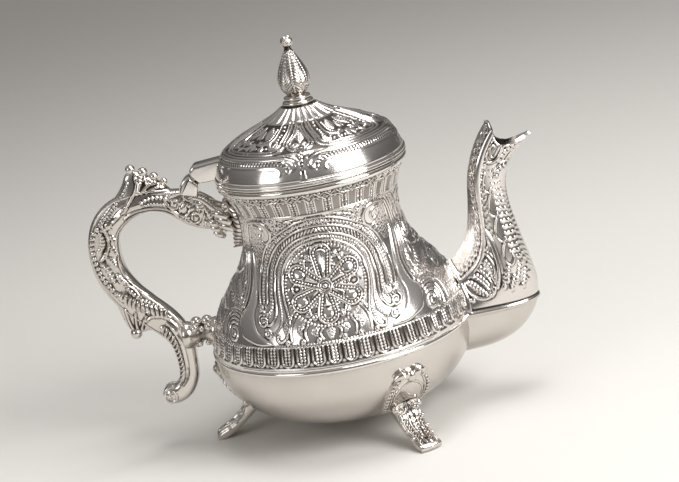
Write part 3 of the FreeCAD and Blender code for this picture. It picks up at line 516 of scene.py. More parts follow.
def joined(meshes: Sequence[bmesh.types.BMesh]) -> bmesh.types.BMesh:
    """Gathers several closed meshes into one."""
    whole = bmesh.new()
    for mesh in meshes:
        data = bpy.data.meshes.new("gather")
        mesh.to_mesh(data)
        whole.from_mesh(data)
        bpy.data.meshes.remove(data)
        mesh.free()
    return whole


def piece(
    name: str, mesh: bmesh.types.BMesh, finish: "Finish", nodes: Sequence[str], body: str = "pot",
) -> bpy.types.Object:
    """Turns a mesh into a finished piece of the visual model.

    Args:
        name: the piece's name.
        mesh: its mesh in millimetres about the turning axis; freed here.
        finish: what it is made of.
        nodes: the construction's nodes it stands in for.
        body: the moving body it rides on.

    Returns:
        The object.
    """
    to_frame(mesh)
    for face in mesh.faces:
        face.smooth = True
    for edge in mesh.edges:
        if len(edge.link_faces) == 2 and edge.calc_face_angle(0) > CRISP:
            edge.smooth = False
    data = bpy.data.meshes.new(name)
    mesh.to_mesh(data)
    mesh.free()
    data.materials.append(finish.material())
    obj = bpy.data.objects.new(name, data)
    bpy.context.scene.collection.objects.link(obj)
    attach(obj, body)
    if nodes:
        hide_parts(*nodes)
    LOG.info("%s: %d faces", name, len(data.polygons))
    return obj


# Finishes
def linear(code: str) -> tuple[float, float, float, float]:
    """Turns a hex sRGB colour into linear values."""
    parts = [int(code[i:i + 2], 16) / 255 for i in (1, 3, 5)]
    red, green, blue = [c / 12.92 if c <= 0.04045 else ((c + 0.055) / 1.055) ** 2.4 for c in parts]
    return red, green, blue, 1.0


def node(tree: bpy.types.NodeTree, kind: str, inputs: dict, **options) -> bpy.types.Node:
    """Adds a shader node.

    Args:
        tree: the tree it goes in.
        kind: its type.
        inputs: a value or an output socket for each named or numbered input.
        options: its other settings.

    Returns:
        The node.
    """
    added = tree.nodes.new(kind)
    for key, value in options.items():
        setattr(added, key, value)
    for key, value in inputs.items():
        if isinstance(value, bpy.types.NodeSocket):
            tree.links.new(value, added.inputs[key])
        else:
            added.inputs[key].default_value = value
    return added


# sizes of the marks in millimetres: dull patches, hairlines, and the width and run of turning rings
PATCH, HAIRLINE, RING_WIDTH, RING_RUN = 11.111, 0.71429, 0.166667, 16.6667


@dataclass(frozen=True)
class Finish:
    """A bare metal: colour, roughness and the fine marks that use has left on it.

    A finish with a ground colour is chased work: its recesses take that dark colour, as tarnish and as
    painted shade, and its crests are rubbed bright.
    """

    name: str
    colour: str
    roughness: float
    ground: str = ""
    ground_roughness: float = 0.45
    brushed: float = 0.0
    wear: float = 0.06
    mottle: float = 0.0

    def material(self) -> bpy.types.Material:
        """Gives the material, made once."""
        made = bpy.data.materials.get(self.name)
        return made if made else self._make()

    def _make(self) -> bpy.types.Material:
        """Builds the shader."""
        made = bpy.data.materials.new(self.name)
        made.use_nodes = True
        tree = made.node_tree
        shader = tree.nodes["Principled BSDF"]
        shader.inputs["Metallic"].default_value = 1.0
        spot = node(tree, "ShaderNodeTexCoord", {}).outputs["Object"]
        # soft patches of handling: the polish is a little duller here and there
        patches = node(tree, "ShaderNodeTexNoise", {
            "Vector": spot, "Scale": 1 / (PATCH * MM), "Detail": 4.0})
        rough = node(tree, "ShaderNodeMapRange", {
            "Value": patches.outputs["Fac"], "From Min": 0.35, "From Max": 0.7,
            "To Min": self.roughness, "To Max": self.roughness + self.wear}).outputs["Result"]
        tone = node(tree, "ShaderNodeMix", {
            "Factor": patches.outputs["Fac"], "A": linear(self.colour),
            "B": tuple(c * (1 - self.mottle) for c in linear(self.colour)[:3]) + (1.0,)}, data_type="RGBA")
        colour = tone.outputs["Result"]
        # hairline scratches of wiping, far below the chased work
        hair = node(tree, "ShaderNodeTexNoise", {
            "Vector": spot, "Scale": 1 / (HAIRLINE * MM), "Detail": 3.0})
        relief = hair.outputs["Fac"]
        depth = 0.02
        if self.brushed:
            # rings left by turning and brushing: noise squeezed flat along the axis
            squeeze = [1 / (size * MM) for size in (RING_RUN, RING_RUN, RING_WIDTH)]
            rings = node(tree, "ShaderNodeMapping", {"Vector": spot, "Scale": squeeze}).outputs["Vector"]
            lines = node(tree, "ShaderNodeTexNoise", {"Vector": rings, "Scale": 1.0, "Detail": 3.0})
            relief = lines.outputs["Fac"]
            depth = self.brushed
        if self.ground:
            # the ground colour, laid in by the recess attribute, is tarnish and painted shade in the hollows
            recess = node(tree, "ShaderNodeAttribute", {}, attribute_name="recess").outputs["Fac"]
            dark = node(tree, "ShaderNodeMapRange", {
                "Value": recess, "From Min": 0.25, "From Max": 0.95}, interpolation_type="SMOOTHSTEP")
            colour = node(tree, "ShaderNodeMix", {
                "Factor": dark.outputs["Result"], "A": colour, "B": linear(self.ground)},
                data_type="RGBA").outputs["Result"]
            rough = node(tree, "ShaderNodeMix", {
                "Factor": dark.outputs["Result"], "A": rough, "B": self.ground_roughness}).outputs["Result"]
        bump = node(tree, "ShaderNodeBump", {"Height": relief, "Strength": depth, "Distance": 0.1 * MM})
        tree.links.new(colour, shader.inputs["Base Color"])
        tree.links.new(rough, shader.inputs["Roughness"])
        tree.links.new(bump.outputs["Normal"], shader.inputs["Normal"])
        return made


# chased silver plate: crests rubbed to a mirror, brown-black tarnish and painted shade in the ground between
# them
CHASED = Finish("chased_silver_plate", "#E3DEDA", 0.15, ground="#453D37")
# cast silver plate of handle and feet: the same tarnish and painted shade, on softer, slightly duller crests
CAST = Finish("cast_silver_plate", "#DDD7D1", 0.16, ground="#40362F")
# satin silver plate of the bowl: fine turning rings give long soft highlights
SATIN = Finish("satin_silver_plate", "#DAD4CE", 0.2, brushed=0.12, mottle=0.1)
# the same satin plate on the spout, which was never turned: no rings, only wiping marks
SATIN_SIDE = Finish("satin_spout_plate", "#DAD4CE", 0.2, mottle=0.1)
# bright silver plate of rings, hinge and rims: a clear mirror
BRIGHT = Finish("bright_silver_plate", "#E8E4E0", 0.07)
# unpolished plate inside: even and dull
INSIDE = Finish("dull_silver_inside", "#B9B2AB", 0.38, mottle=0.15)
# plain steel of screws, washer and hinge pin: grey and a little rough
STEEL = Finish("plain_steel", "#A9A8A6", 0.28)
# bright cast plate of small turned rings: a mirror worn a little soft
CHASED_PLAIN = Finish("soft_bright_silver_plate", "#E0DAD4", 0.13)


# The vessel
@dataclass
class Vessel:
    """The chased upper wall, the plain bowl and the bright rings about them."""

    wall: Pairs = ((53.8, 39.7), (53.2, 46.97), (45.2, 62.58), (36.3, 74.63), (32.6, 90.58), (37.9, 107.0))
    bowl: Pairs = ((53.8, 39.7), (52.6, 28.3), (44.6, 17.0), (18.2, 8.6))
    middle: float = 69.2
    thick: float = 1.4
    grain: float = 0.19
    side_grain: float = 0.31
    inside: float = 0.12
    strainer: tuple[int, int, float, float] = (3, 5, 4.2, 1.6)
    tongues: int = 52
    columns: int = 32
    teeth: int = 54
    petals: int = 6
    rosette: tuple[float, float] = (0.0, 0.9)
    arch_lines: Rows = (
        ((-6, 18.4), (0, 19.4), (6, 18.4), (12, 15), (16, 10), (17.5, 5), (17.8, 0), (17.3, -5),
         (16.4, -10), (16.2, -13.5), (17.2, -17), (19.5, -20), (21.8, -20.2), (22.3, -18.6), (21.2, -18)),
        ((-6, 21.1), (0, 22.1), (7, 20.9), (14.2, 17.2), (19.3, 11), (21, 5), (21.6, 0), (21.4, -4.5),
         (21.8, -9), (23.5, -12.4), (26, -13.6), (27.2, -12.6), (26.4, -11.6)),
        ((-6, 24.4), (0, 25.4), (8, 24), (16.6, 19.4), (22.8, 12), (24.8, 5.5), (25.5, 0), (25.6, -3.5),
         (26.6, -6)),
        ((-6, 27.9), (0, 28.8), (8, 27.4), (16, 23.6), (24, 17.5), (27.5, 11), (29, 5), (29.6, 0),
         (29.4, -5)),
    )
    arch_ropes: Rows = (
        (((-6, 19.7), (0, 20.7), (6, 19.7), (13, 16.2), (17.6, 10.5), (19.3, 5), (19.8, 0), (19.6, -5),
         (19.2, -9.5), (20, -13.5), (22.5, -16.6), (25.5, -17.6), (26.6, -16.4), (25.8, -15.4)), 0.55, 0.42,
         1.15),
        (((-6, 22.7), (0, 23.7), (7.5, 22.4), (15.4, 18.3), (21, 11.6), (22.9, 5), (23.5, 0), (23.4, -4),
         (24, -7.5), (25.8, -9.6), (27.6, -9.4), (27.8, -8.2)), 0.9, 0.62, 1.5),
    )
    arch_tendrils: Rows = (
        ((4, 29.4), (9, 29.0), (14, 27.4), (17, 25.6)), ((-2, 30.0), (8, 30.0), (18, 29.6), (24, 29.6)),
        ((12, 28.6), (15.4, 28.4), (16.6, 26.8), (15.4, 25.8)),
    )
    arch_bosses: Pairs = ((18.2, 27.6), (17.6, 23.9), (16.2, 29.0), (10.4, 28.2))
    arch_dots: Pairs = (
        (-6, 26.2), (0, 27.1), (8, 25.7), (17.4, 20.6), (24.4, 12.6), (26.9, 6), (27.6, 0), (27.6, -4),
    )
    swoosh: Pairs = (
        (31.8, 27), (32.6, 22), (32.4, 15), (31.4, 5), (31.2, 0), (31.4, -5), (33.0, -10), (32.6, -14),
        (30.0, -18), (24.6, -21.3), (28, -22.0), (33, -21.8), (37, -20.6), (40.4, -19), (41.6, -16),
        (42, -12.5), (40.6, -9), (38.2, -7.2), (36, -3), (34.8, 3), (35.2, 10), (34.4, 18), (33.2, 24),
        (31.8, 27),
    )
    swoosh_edges: Rows = (
        ((32.6, 27.5), (34.4, 23), (35.8, 16), (36.3, 10), (35.9, 3), (37.2, -3), (39.4, -7.6)),
        ((33.6, 28.2), (35.8, 23.5), (37.2, 16), (37.7, 10), (37.3, 4), (38.4, -1.5), (40.2, -5.5)),
    )
    drop_edge: Pairs = (
        (31.8, 27.4), (27, 28.5), (22.8, 27.8), (20.2, 25), (20.2, 21.8), (22.2, 19.8), (25, 20.4),
    )
    drop: Pairs = (
        (31.4, 27.0), (27, 28.2), (22.9, 27.4), (20.6, 24.8), (20.6, 22.0), (22.6, 20.2), (26, 21.2),
        (29, 24.0), (31.4, 27.0),
    )
    swoosh_rays: Rows = (
        ((35.4, 28.6), (38.2, 22), (39.6, 14), (39.8, 7), (40.2, 1), (42.2, -4)),
        ((37.4, 28.8), (40.6, 22), (42.2, 14), (42.2, 8), (43, 3)),
        ((39.6, 29), (43, 22.5), (44.8, 16), (45, 11)),
    )
    wall_leaves: Rows = (
        (((38.6, -4), (40, 2), (41.4, 8.5)), 2.7), (((42.6, -6), (45.5, -1), (46.6, 5)), 2.6),
        (((46.5, -6), (51, -3.5), (55, 1)), 2.6), (((54, -10), (59, -7.5), (62.5, -3)), 2.6),
        (((57, -16.5), (62, -15), (66.5, -11)), 2.6), (((39.5, 12), (43, 17.5), (44.5, 24)), 2.4),
        (((44, 9), (48, 12.5), (51, 18)), 2.4), (((37.4, 20), (38.8, 25), (37.4, 29)), 1.9),
        (((64, -21), (70, -18), (74, -12)), 2.6), (((61, 3), (66, 7), (68, 13)), 2.4),
    )
    wall_stems: Rows = (
        ((41.5, -9), (46, -8.4), (51, -10), (55.4, -14.4), (57.6, -20.5)),
        ((43, -11.6), (47.6, -11.2), (51.4, -13.4), (53.6, -17.6), (54, -21.6)),
        ((44, -13), (48.6, -13.1), (51.2, -15.6), (51.6, -19.5), (49.5, -22)),
        ((40, 10.5), (47, 5.5), (52, 5), (54, 6.5)), ((42, 27), (46, 28.6), (51, 28.2), (56, 28.8)),
        ((57, -3), (63, 1.5), (68, 1.6), (74, -1.5)), ((60, -22), (64, -17), (70, -13), (78, -12)),
    )
    arch_curls: Rows = (((28.2, -12.0), 2.6, -1.7), ((26.6, -17.2), 1.9, 1.5), ((29.4, -7.0), 1.5, 1.4))
    drop_hook: Pairs = ((28.4, 26.6), (25.4, 26.3), (23.4, 24.2), (24.2, 22.2), (25.9, 22.9))
    drop_dots: Pairs = ((26.6, 24.7), (28.3, 24.6), (27.6, 23.4))
    wall_volutes: Rows = (
        ((46.6, -18.0), 4.1, -2.1, 120, 0.62, 0.6), ((56.5, 8.5), 5.2, 2.0, 200, 0.62, 0.58),
        ((60.0, -5.0), 4.2, -2.0, 160, 0.6, 0.58), ((48.5, 24.5), 3.6, 1.8, 200, 0.55, 0.55),
    )
    wall_eyes: Rows = (((46.6, -18.0), 1.1, 0.6), ((56.5, 8.5), 1.2, 0.6), ((60.0, -5.0), 1.0, 0.58))
    stem_beads: Pairs = ((42, -10.3), (47, -9.7), (51.5, -11.6), (54.6, -16), (55.8, -21))

    def build(self) -> None:
        """Makes the six chased panels, the bowl and the rings."""
        self._panels()
        self._bowl()
        self._rings()

    def _panels(self) -> None:
        """Makes the chased wall in six parts; the one behind the spout has the strainer's holes."""
        for name, start, wide, grain in (
            ("front_handle_side", -135, 45, self.grain), ("front_spout_side", -90, 45, self.grain),
            ("spout_side", -45, 90, self.side_grain), ("rear_spout_side", 45, 45, self.grain),
            ("rear_handle_side", 90, 45, self.grain), ("handle_side", 135, 90, self.side_grain),
        ):
            curve = smooth_curve(self.wall, grain)
            run = lengths(curve)
            run -= np.interp(self.middle, curve[:, 1], run)
            steps = int(math.radians(wide) * self.wall[0][0] / (1.04 * grain))
            turn = np.radians(start + wide * np.linspace(0, 1, steps + 1))
            side = folded(np.where(np.sin(turn) < 0, turn + TURN / 4, turn - TURN / 4), TURN)
            shape = (len(curve), steps + 1)
            flat = [np.broadcast_to(v, shape).ravel() for v in (side, run[:, None], curve[:, :1])]
            height = soften(self.chasing(*flat).reshape(shape))
            front = curve[:, None] + height[..., None] * outward(curve)[:, None]
            back = np.vstack([curve[:0:-14], curve[:1]]) - [self.thick, 0]
            back = np.broadcast_to(back[:, None], (len(back), steps + 1, 2))
            section = np.concatenate([front, back, front[:1]])
            deep = np.full(section.shape[:2], self.inside)
            # the ground is painted dark: tarnish and painted shade in the creases, painted shade and dark
            # reflection on the bare ground of rosette and neck
            dark = creases(height, (grain, 0.85 * grain))
            deep[:len(curve)] = np.maximum(dark, self._painted_dark_ground(height, *flat))
            deep[-1] = 0
            mesh = woven(turned(section, turn), deep)
            obj = piece("body_chasing_" + name, mesh, CHASED, ["upper_body"])
            if name == "spout_side":
                self._pierce(obj)

    def _painted_dark_ground(self, height: Points, side: Points, up: Points, radius: Points) -> Points:
        """Tells where the bare ground is painted dark, as painted shade and dark reflection: in the rosette
        and between the neck's columns.
        """
        reach = np.hypot(np.abs(side) * radius, up - self.rosette[1])
        level = 0.6 * (reach < 17.2) + 0.64 * (up > 30.6) * (up < 38.2)
        return level.reshape(height.shape) * ease(0.16, 0.02, height)

    def _pierce(self, wall: bpy.types.Object) -> None:
        """Drills the strainer's holes through the wall behind the spout."""
        rows, columns, pitch, radius = self.strainer
        middle, depth = 50, 20  # the bars reach from inside the wall to outside it
        bars = bmesh.new()
        for number in range(rows * columns):
            row, column = divmod(number, columns)
            y = pitch * (column - (columns - 1) / 2)
            spot = Matrix.Translation((middle, y, self.wall[1][1] + pitch * (row - 0.5)))
            bmesh.ops.create_cone(
                bars, cap_ends=True, segments=24, radius1=radius, radius2=radius, depth=depth,
                matrix=spot @ Matrix.Rotation(TURN / 4, 4, "Y"))
        carve(wall, bars)

    def chasing(self, side: Points, up: Points, radius: Points) -> Points:
        """Draws the chased work of the wall.

        Args:
            side: angle from the middle of the nearer side.
            up: length along the wall, 0 at the rosette's height.
            radius: radius of the wall there.

        Returns:
            The height of each point.
        """
        work = Relief(np.abs(side) * radius, up)
        self._scrolls(work)
        self._horseshoe(work)
        self._swoosh(work)
        self._rosette(work)
        self._fill(work)
        self._gadroons(work, side, up, radius)
        self._neck(work, side, up, radius)
        return work.height

    def _gadroons(self, work: Relief, side: Points, up: Points, radius: Points) -> None:
        """Sets the row of beaded tongues above the seam."""
        where = np.flatnonzero(up < -22.2)
        work.height[where] = 0
        b = up[where]
        t = np.abs(radius[where] * folded(side[where], TURN / self.tongues))
        foot = b + 28.1
        reach = np.where(foot > 0, t, np.hypot(t, foot))
        inside = (b > -31) & (b < -22.9)
        # the wire round each tongue and the two rows of beads in it
        work.lift(where, 0.62 * rounded(reach - 2.25, 0.42) * inside)
        beads = rounded(np.hypot(t - 0.74, b % 1.25 - 0.625), 0.56)
        work.lift(where, 0.55 * beads * (reach < 1.6) * inside)
        # the lines above and below the row
        for level, half, height in ((-22.6, 0.34, 0.4), (-31.2, 0.4, 0.42)):
            work.lift(where, height * rounded(b - level, half))
        work.lift(where, 0.4 * ease(-31.4, -31.7, b))

    def _neck(self, work: Relief, side: Points, up: Points, radius: Points) -> None:
        """Sets the beaded columns of the neck and the zigzag under the rim."""
        where = np.flatnonzero(up > 30.2)
        work.height[where] = 0
        b = up[where]
        pitch = TURN / self.columns
        t = np.abs(radius[where] * folded(side[where], pitch))
        half_pitch = pitch * radius[where] / 2
        shaft = (b > 31) & (b < 36.6)
        # each column: two rows of beads between thin stripes
        work.lift(where, 0.5 * rounded(np.hypot(t - 0.8, b % 1.1 - 0.55), 0.5) * shaft)
        work.lift(where, 0.2 * rounded(t - 1.75, 0.28) * shaft)
        # the arches from column to column, with bosses above and between
        arch = np.hypot(half_pitch - t, 1.25 * np.maximum(b - 35.4, 0))
        work.lift(where, 0.42 * rounded(arch - half_pitch + 0.5, 0.32) * (b > 35.4) * (b < 38.4))
        work.lift(where, 0.36 * rounded(np.hypot(t, b - 37.4), 0.5))
        work.lift(where, 0.36 * rounded(np.hypot(half_pitch - t, b - 37.2), 0.55))
        # the zigzag, with a boss in each tooth
        pitch = TURN / self.teeth
        t = np.abs(radius[where] * folded(side[where], pitch))
        tip = 38.5 + 2.0 * t / (pitch * radius[where] / 2)
        work.lift(where, 0.6 * rounded(b - tip, 0.46))
        work.lift(where, 0.55 * rounded(np.hypot(t, b - 40.0), 0.65))
        for level, half in ((30.5, 0.36), (38.0, 0.26)):
            work.lift(where, 0.42 * rounded(b - level, half))

    def _horseshoe(self, work: Relief) -> None:
        """Lays the lines and ropes of the horseshoe round the rosette, flaring to curled ends."""
        for knots in self.arch_lines:
            work.line(knots, 0.48, 0.5)
        for knots, half, height, pitch in self.arch_ropes:
            work.rope(knots, half, height, pitch)
        for knots in self.arch_tendrils:
            work.line(knots, 0.34, 0.42)
        for spot in self.arch_bosses:
            work.dot(spot, 0.7, 0.5)
        work.beads(self.arch_dots, 0.62, 0.45, 1.5)

    def _rosette(self, work: Relief) -> None:
        """Raises the six-petalled rosette: mirror facets in beaded outlines, with filigree between them."""
        x, y = (work.points - self.rosette).T
        reach = np.hypot(x, y)
        work.height[reach < 17.3] = 0
        self._filigree(work)
        for number in range(self.petals):
            aim = TURN / 4 + number * TURN / self.petals
            along = x * math.cos(aim) + y * math.sin(aim)
            over = np.abs(-x * math.sin(aim) + y * math.cos(aim))
            near = np.flatnonzero((along > 1.5) & (over < 4.2) & (reach < 17.4))
            s, o = along[near], over[near]
            end = 13.0 if number == 0 else 11.6
            half = 0.5 + 1.65 * np.clip((s - 3.0) / (end - 3.0), 0, 1) ** 1.1
            edge = np.where(s < end, o - half, np.hypot(o, s - end) - 2.15)
            work.height[near] = np.where(edge < 2.2, 0, work.height[near])
            # the wire round the petal and the beads inside it
            work.lift(near, 0.62 * rounded(edge - 1.85, 0.42))
            length = np.where(s < end, s, end + 2.6 * (TURN / 4 - np.arctan2(o, s - end)))
            work.lift(near, 0.5 * rounded(np.hypot(edge - 0.8, length % 1.2 - 0.6), 0.52))
            # the facet: a ridge along the top petal, a ridge with a round drop along the others
            level = 0.15 + 0.75 * np.clip(1 - o / np.maximum(half, 0.3), 0, 1)
            if number:
                drop = 0.12 + 0.7 * rounded(np.hypot(o / 2.1, (s - end) / 2.4), 1.0)
                split = end - 2.7
                level = np.where(s > split, drop, level * ease(split - 0.1, split - 0.9, s))
            facet = (edge < 0.0) & (s > 3.4)
            work.height[near] = np.where(facet, level, work.height[near])
        work.beads(arc(self.rosette, (16.5, 16.5), 0, TURN, 90), 0.56, 0.5, 1.4)
        work.height[reach < 3.3] = 0
        work.dot(self.rosette, 1.15, 0.8)
        for size, half, height in ((1.75, 0.35, 0.5), (2.75, 0.5, 0.62)):
            ring = np.flatnonzero(np.abs(reach - size) < half)
            work.lift(ring, height * rounded(reach[ring] - size, half))

    def _filigree(self, work: Relief) -> None:
        """Fills the ground between the petals with small scrolls, rings and dotted ribs."""
        middle = np.array(self.rosette)
        for gap in range(self.petals):
            aim = gap * TURN / self.petals
            way = np.array((math.cos(aim), math.sin(aim)))
            cross = np.array((-way[1], way[0]))
            if gap in (0, 3):
                centre = tuple(middle + 11.6 * way)
                work.line(spiral(centre, 1.95, 1.0, 0, 1.95), 0.4, 0.52)
                work.dot(centre, 0.6, 0.55)
            else:
                for turns in (1.3, -1.3):
                    centre = tuple(middle + 13.4 * way + math.copysign(1.5, turns) * cross)
                    work.line(spiral(centre, 1.3, turns, math.degrees(aim) + 180), 0.38, 0.5)
                    work.dot(centre, 0.6, 0.55)
            work.beads(np.array([middle + 5.6 * way, middle + 9.9 * way]), 0.52, 0.5, 1.2)
            for side in (-1, 1):
                ends = [middle + far * way + side * wide * cross for far, wide in ((9.2, 0.9), (11.6, 1.9))]
                work.beads(np.array(ends), 0.5, 0.46, 1.2)
            work.dot(tuple(middle + 15.2 * way), 0.6, 0.5)

    def _swoosh(self, work: Relief) -> None:
        """Clears the broad polished scroll beside the horseshoe and edges it."""
        work.plain(smooth_curve(self.swoosh)[:-1], 0.55, 1.3)
        for knots in self.swoosh_edges:
            work.line(knots, 0.5, 0.62)
        work.plain(smooth_curve(self.drop)[:-1], 0.4, 1.0)
        work.line(self.drop_edge, 0.6, 0.62)
        work.line(self.drop_hook, 0.55, 0.8)
        for spot in self.drop_dots:
            work.dot(spot, 0.5, 0.75)
        for knots in self.swoosh_rays:
            work.line(knots, 0.45, 0.55)

    def _scrolls(self, work: Relief) -> None:
        """Raises the leaf scrolls that run on from the polished scroll to spout and handle."""
        for knots, half in self.wall_leaves:
            work.leaf(knots, half, 0.55, 1.5)
        for centre, size, turns, start, half, height in self.wall_volutes:
            work.line(spiral(centre, size, turns, start), half, height)
        for centre, radius, height in self.wall_eyes:
            work.dot(centre, radius, height)
        for knots in self.wall_stems:
            work.line(knots, 0.5, 0.52)
        work.beads(self.stem_beads, 0.5, 0.42, 1.25)
        for centre, size, turns in self.arch_curls:
            work.line(spiral(centre, size, turns, 60), 0.42, 0.5)
            work.dot(centre, 0.75, 0.5)
        self._skirt(work)

    def _skirt(self, work: Relief) -> None:
        """Raises the hanging leaves under the rosette, with dotted veins and polished drops at their ends."""
        for reach, turn in ((3.4, 0.16), (9.8, 0.52), (16.4, 0.88)):
            root = np.array(self.rosette) + 16.9 * np.array((math.sin(turn), -math.cos(turn)))
            end = np.array((reach, -20.4))
            bend = (root + end) / 2 + (1.1, 0.2)
            work.line((root, bend, end), 0.42, 0.52)
            work.leaf((root + (1.6, 0.2), bend + (2.1, 0.3), end + (1.7, 1.2)), 1.35, 0.5, 1.1)
            work.dot(tuple(end + (1.7, -0.3)), 1.15, 0.75)
        work.leaf(((0, -15.2), (0, -18.4), (0, -21.6)), 1.5, 0.55, 1.2)
        work.beads(np.array([(-1, -22.0), (24, -22.0)]), 0.45, 0.4, 1.2)

    def _fill(self, work: Relief) -> None:
        """Fills the bare ground round the scrolls with small struck hooks."""
        x, y = work.points.T
        row = np.floor(y / 1.9)
        u = (x + 1.1 * (row % 2)) % 2.2 - 1.1
        v = y % 1.9 - 0.95
        ring = np.hypot(u, v)
        open_side = np.arctan2(v, u) > -2.2
        level = 0.18 * rounded(ring - 0.68, 0.3) * open_side
        bare = (work.height < 0.02) & (np.hypot(x, y - self.rosette[1]) > 17.5) & ((x > 45) | (y > 13))
        work.lift(bare, level[bare])

    def _bowl(self) -> None:
        """Makes the plain bowl with its thick foot plate inside."""
        top, foot = self.bowl[0][1], self.bowl[-1][1]
        curve = smooth_curve(self.bowl, 1.4)
        inner = curve + self.thick * outward(curve)
        inner = inner[inner[:, 1] < top - 0.1]
        inner[0, 1] = top
        profile = np.vstack([(0, foot), curve[::-1], inner, (0, foot + self.thick)])
        piece("bowl", spun(profile, 256), SATIN, ["lower_bowl"])

    def _rings(self) -> None:
        """Makes the seam bead and the rolled rim of the mouth."""
        bead = arc((53.6, 39.7), (1.4, 1.15), TURN / 4, -TURN / 4, 14)
        seam = np.vstack([(53.0, 40.85), bead, (53.0, 38.55)])
        piece("seam_bead", spun(seam, 256, closed=True), BRIGHT, ["seam_ring"])
        roll = arc((38.1, 108.5), (1.3, 1.45), -1.5, 1.5, 14)
        rim = np.vstack([(36.5, 107.05), roll, (36.5, 109.95)])
        piece("mouth_rim", spun(rim, 256, closed=True), BRIGHT, ["neck_rim"])



# The lid
@dataclass
class Lid:
    """The chased lid with its polished band, bead flange, sleeve and knob."""

    dome: Pairs = ((38.6, 112.6), (36.4, 118.0), (34.2, 121.6), (26.4, 126.1), (18.6, 129.35), (7.0, 135.7))
    bulb: Pairs = ((3.4, 139.7), (6.5, 146.3), (4.55, 152.5), (1.4, 159.1))
    tip: tuple[float, float] = (161.29, 2.6)
    border: float = 9.3
    wall: float = 1.2
    grain: float = 0.31
    steps: int = 640
    petals: int = 6
    band_lines: Rows = (
        (((36, 0.5), (28, 0.5), (20, 0.5), (13, 0.5), (8.4, 0.4), (5.4, -0.2), (3.4, -1.6), (3.0, -3.4),
         (4.0, -4.4)), 0.85, 0.72),
        (((36, -2.5), (28, -2.5), (21, -2.5), (15, -2.5), (11.8, -2.6), (9.7, -3.4), (8.8, -4.9),
         (9.4, -6.0)), 0.4, 0.62),
        (((36, 2.0), (28, 2.0), (20, 2.0), (13, 2.0), (8, 1.9), (4.6, 1.4), (1.9, -0.5), (1.1, -3.4),
         (1.2, -6.6)), 0.42, 0.5),
    )
    band_rope: Pairs = (
        (36, -1.15), (28, -1.15), (20, -1.15), (14, -1.15), (10.4, -1.25), (7.8, -1.9), (6.2, -3.4),
        (6.4, -5.2),
    )
    band_bosses: Pairs = ((0, 2.4), (1.0, 1.4), (0, 0.4), (0, -1.4), (0, -3.0), (0, -4.5))
    dome_stems: Rows = (
        ((0, 3.6), (2.6, 4.0), (4.7, 5.6), (4.9, 8.4), (3.4, 12.0), (2.0, 16.0), (1.2, 20.5)),
        ((0, 4.8), (2.2, 5.0), (3.6, 6.3), (3.7, 8.4), (2.5, 11.6), (1.2, 15.2), (0.4, 19.5)),
        ((27, 3.2), (21, 3.2), (15, 3.2), (11, 3.4), (8.6, 4.2), (7.0, 6.0), (6.0, 9.4), (4.2, 14.4),
         (3.0, 19.0), (2.4, 23)),
        ((25, 4.6), (20, 4.6), (15, 4.6), (11.8, 4.8), (9.8, 5.7), (8.4, 7.4), (7.2, 10.6), (5.2, 15.6),
         (4.2, 19.0), (3.7, 23)),
        ((19, 9.5), (14.5, 9.2), (11.2, 11.2), (9.2, 14.6), (7.8, 18.4), (6.6, 22)),
    )
    dome_leaves: Rows = (
        ((22.6, 5.8), (20.8, 8.0), (20.4, 11.4)), ((18.2, 12.4), (16.6, 15.2), (14.6, 19.6)),
        ((12.9, 5.9), (10.6, 7.4), (9.0, 11)),
    )
    dome_curls: Rows = (
        ((17.3, 6.2), 1.0, 1.3), ((16.7, 9.8), 1.3, -1.5), ((13.2, 9.6), 1.2, 1.4),
        ((21.4, 13.0), 1.3, 1.4),
    )
    dome_bosses: Pairs = ((16.4, 8.2), (14.9, 10.1), (6.3, 18), (5.9, 20.4))
    dome_beads: Rows = (
        (
            ((23.6, 3.9), (14.8, 3.9), (9.8, 4.3), (7.7, 6.2), (6.6, 10.0), (4.7, 15.0), (3.6, 19.0)),
            0.42, 0.4, 1.1,
        ),
        (((17.5, 11.2), (14.4, 11.0), (12.3, 12.8), (10.6, 15.8), (9.2, 19)), 0.5, 0.45, 1.3),
        (((19.5, 7.0), (14.8, 6.9), (11.2, 7.8), (9.4, 10.8), (7.4, 15)), 0.62, 0.48, 1.7),
    )
    dome_broad_leaves: Rows = (
        (((0.0, 8.6), (0.0, 13), (0.0, 18.4)), 2.0, 0.5, 1.3),
        (((14.5, 12.6), (12.6, 16.5), (10.8, 21)), 1.9, 0.55, 1.3),
    )
    flutes: int = 24

    def build(self) -> None:
        """Makes the dome, the rings and the knob."""
        self._dome()
        self._rings()
        self._knob()

    def _dome(self) -> None:
        """Makes the dome with its chased top and the four polished fields of its band."""
        low = smooth_curve(self.dome[:3], self.grain)
        high = smooth_curve(self.dome[2:], self.grain)
        curve = np.vstack([low, high[1:]])
        out = outward(curve)
        run = lengths(curve)
        turn = np.linspace(0, TURN, self.steps + 1)
        across = curve[:, :1] * np.abs(folded(turn, TURN / 4))
        up = np.broadcast_to(run[:, None] - self.border, across.shape)
        height = soften(self.chasing(across.ravel(), up.ravel()).reshape(across.shape))
        height *= 1 - ease(run[-1] - 1.0, run[-1], run)[:, None]
        front = curve[:, None] + height[..., None] * out[:, None]
        back = (curve - self.wall * out)[::-14]
        back[:, 1] = np.maximum(back[:, 1], curve[0, 1])
        back = np.vstack([(0, back[0, 1]), back])
        back = np.broadcast_to(back[:, None], (len(back), self.steps + 1, 2))
        pole = np.broadcast_to((0, curve[-1, 1]), (1, self.steps + 1, 2))
        section = np.concatenate([back, front, pole])
        deep = np.zeros(section.shape[:2])
        # the chased top's bare ground is painted dark as painted dark reflection, and its creases take
        # tarnish and painted shade
        ground = ease(0.2, 0.05, height) * ease(2.2, 3.0, up)
        deep[len(back):-1] = np.maximum(creases(height, (self.grain, 0.25)), 0.85 * ground)
        mesh = woven(turned(section, turn), deep)
        piece("lid_chasing", mesh, CHASED, ["lid_dome"], "lid")

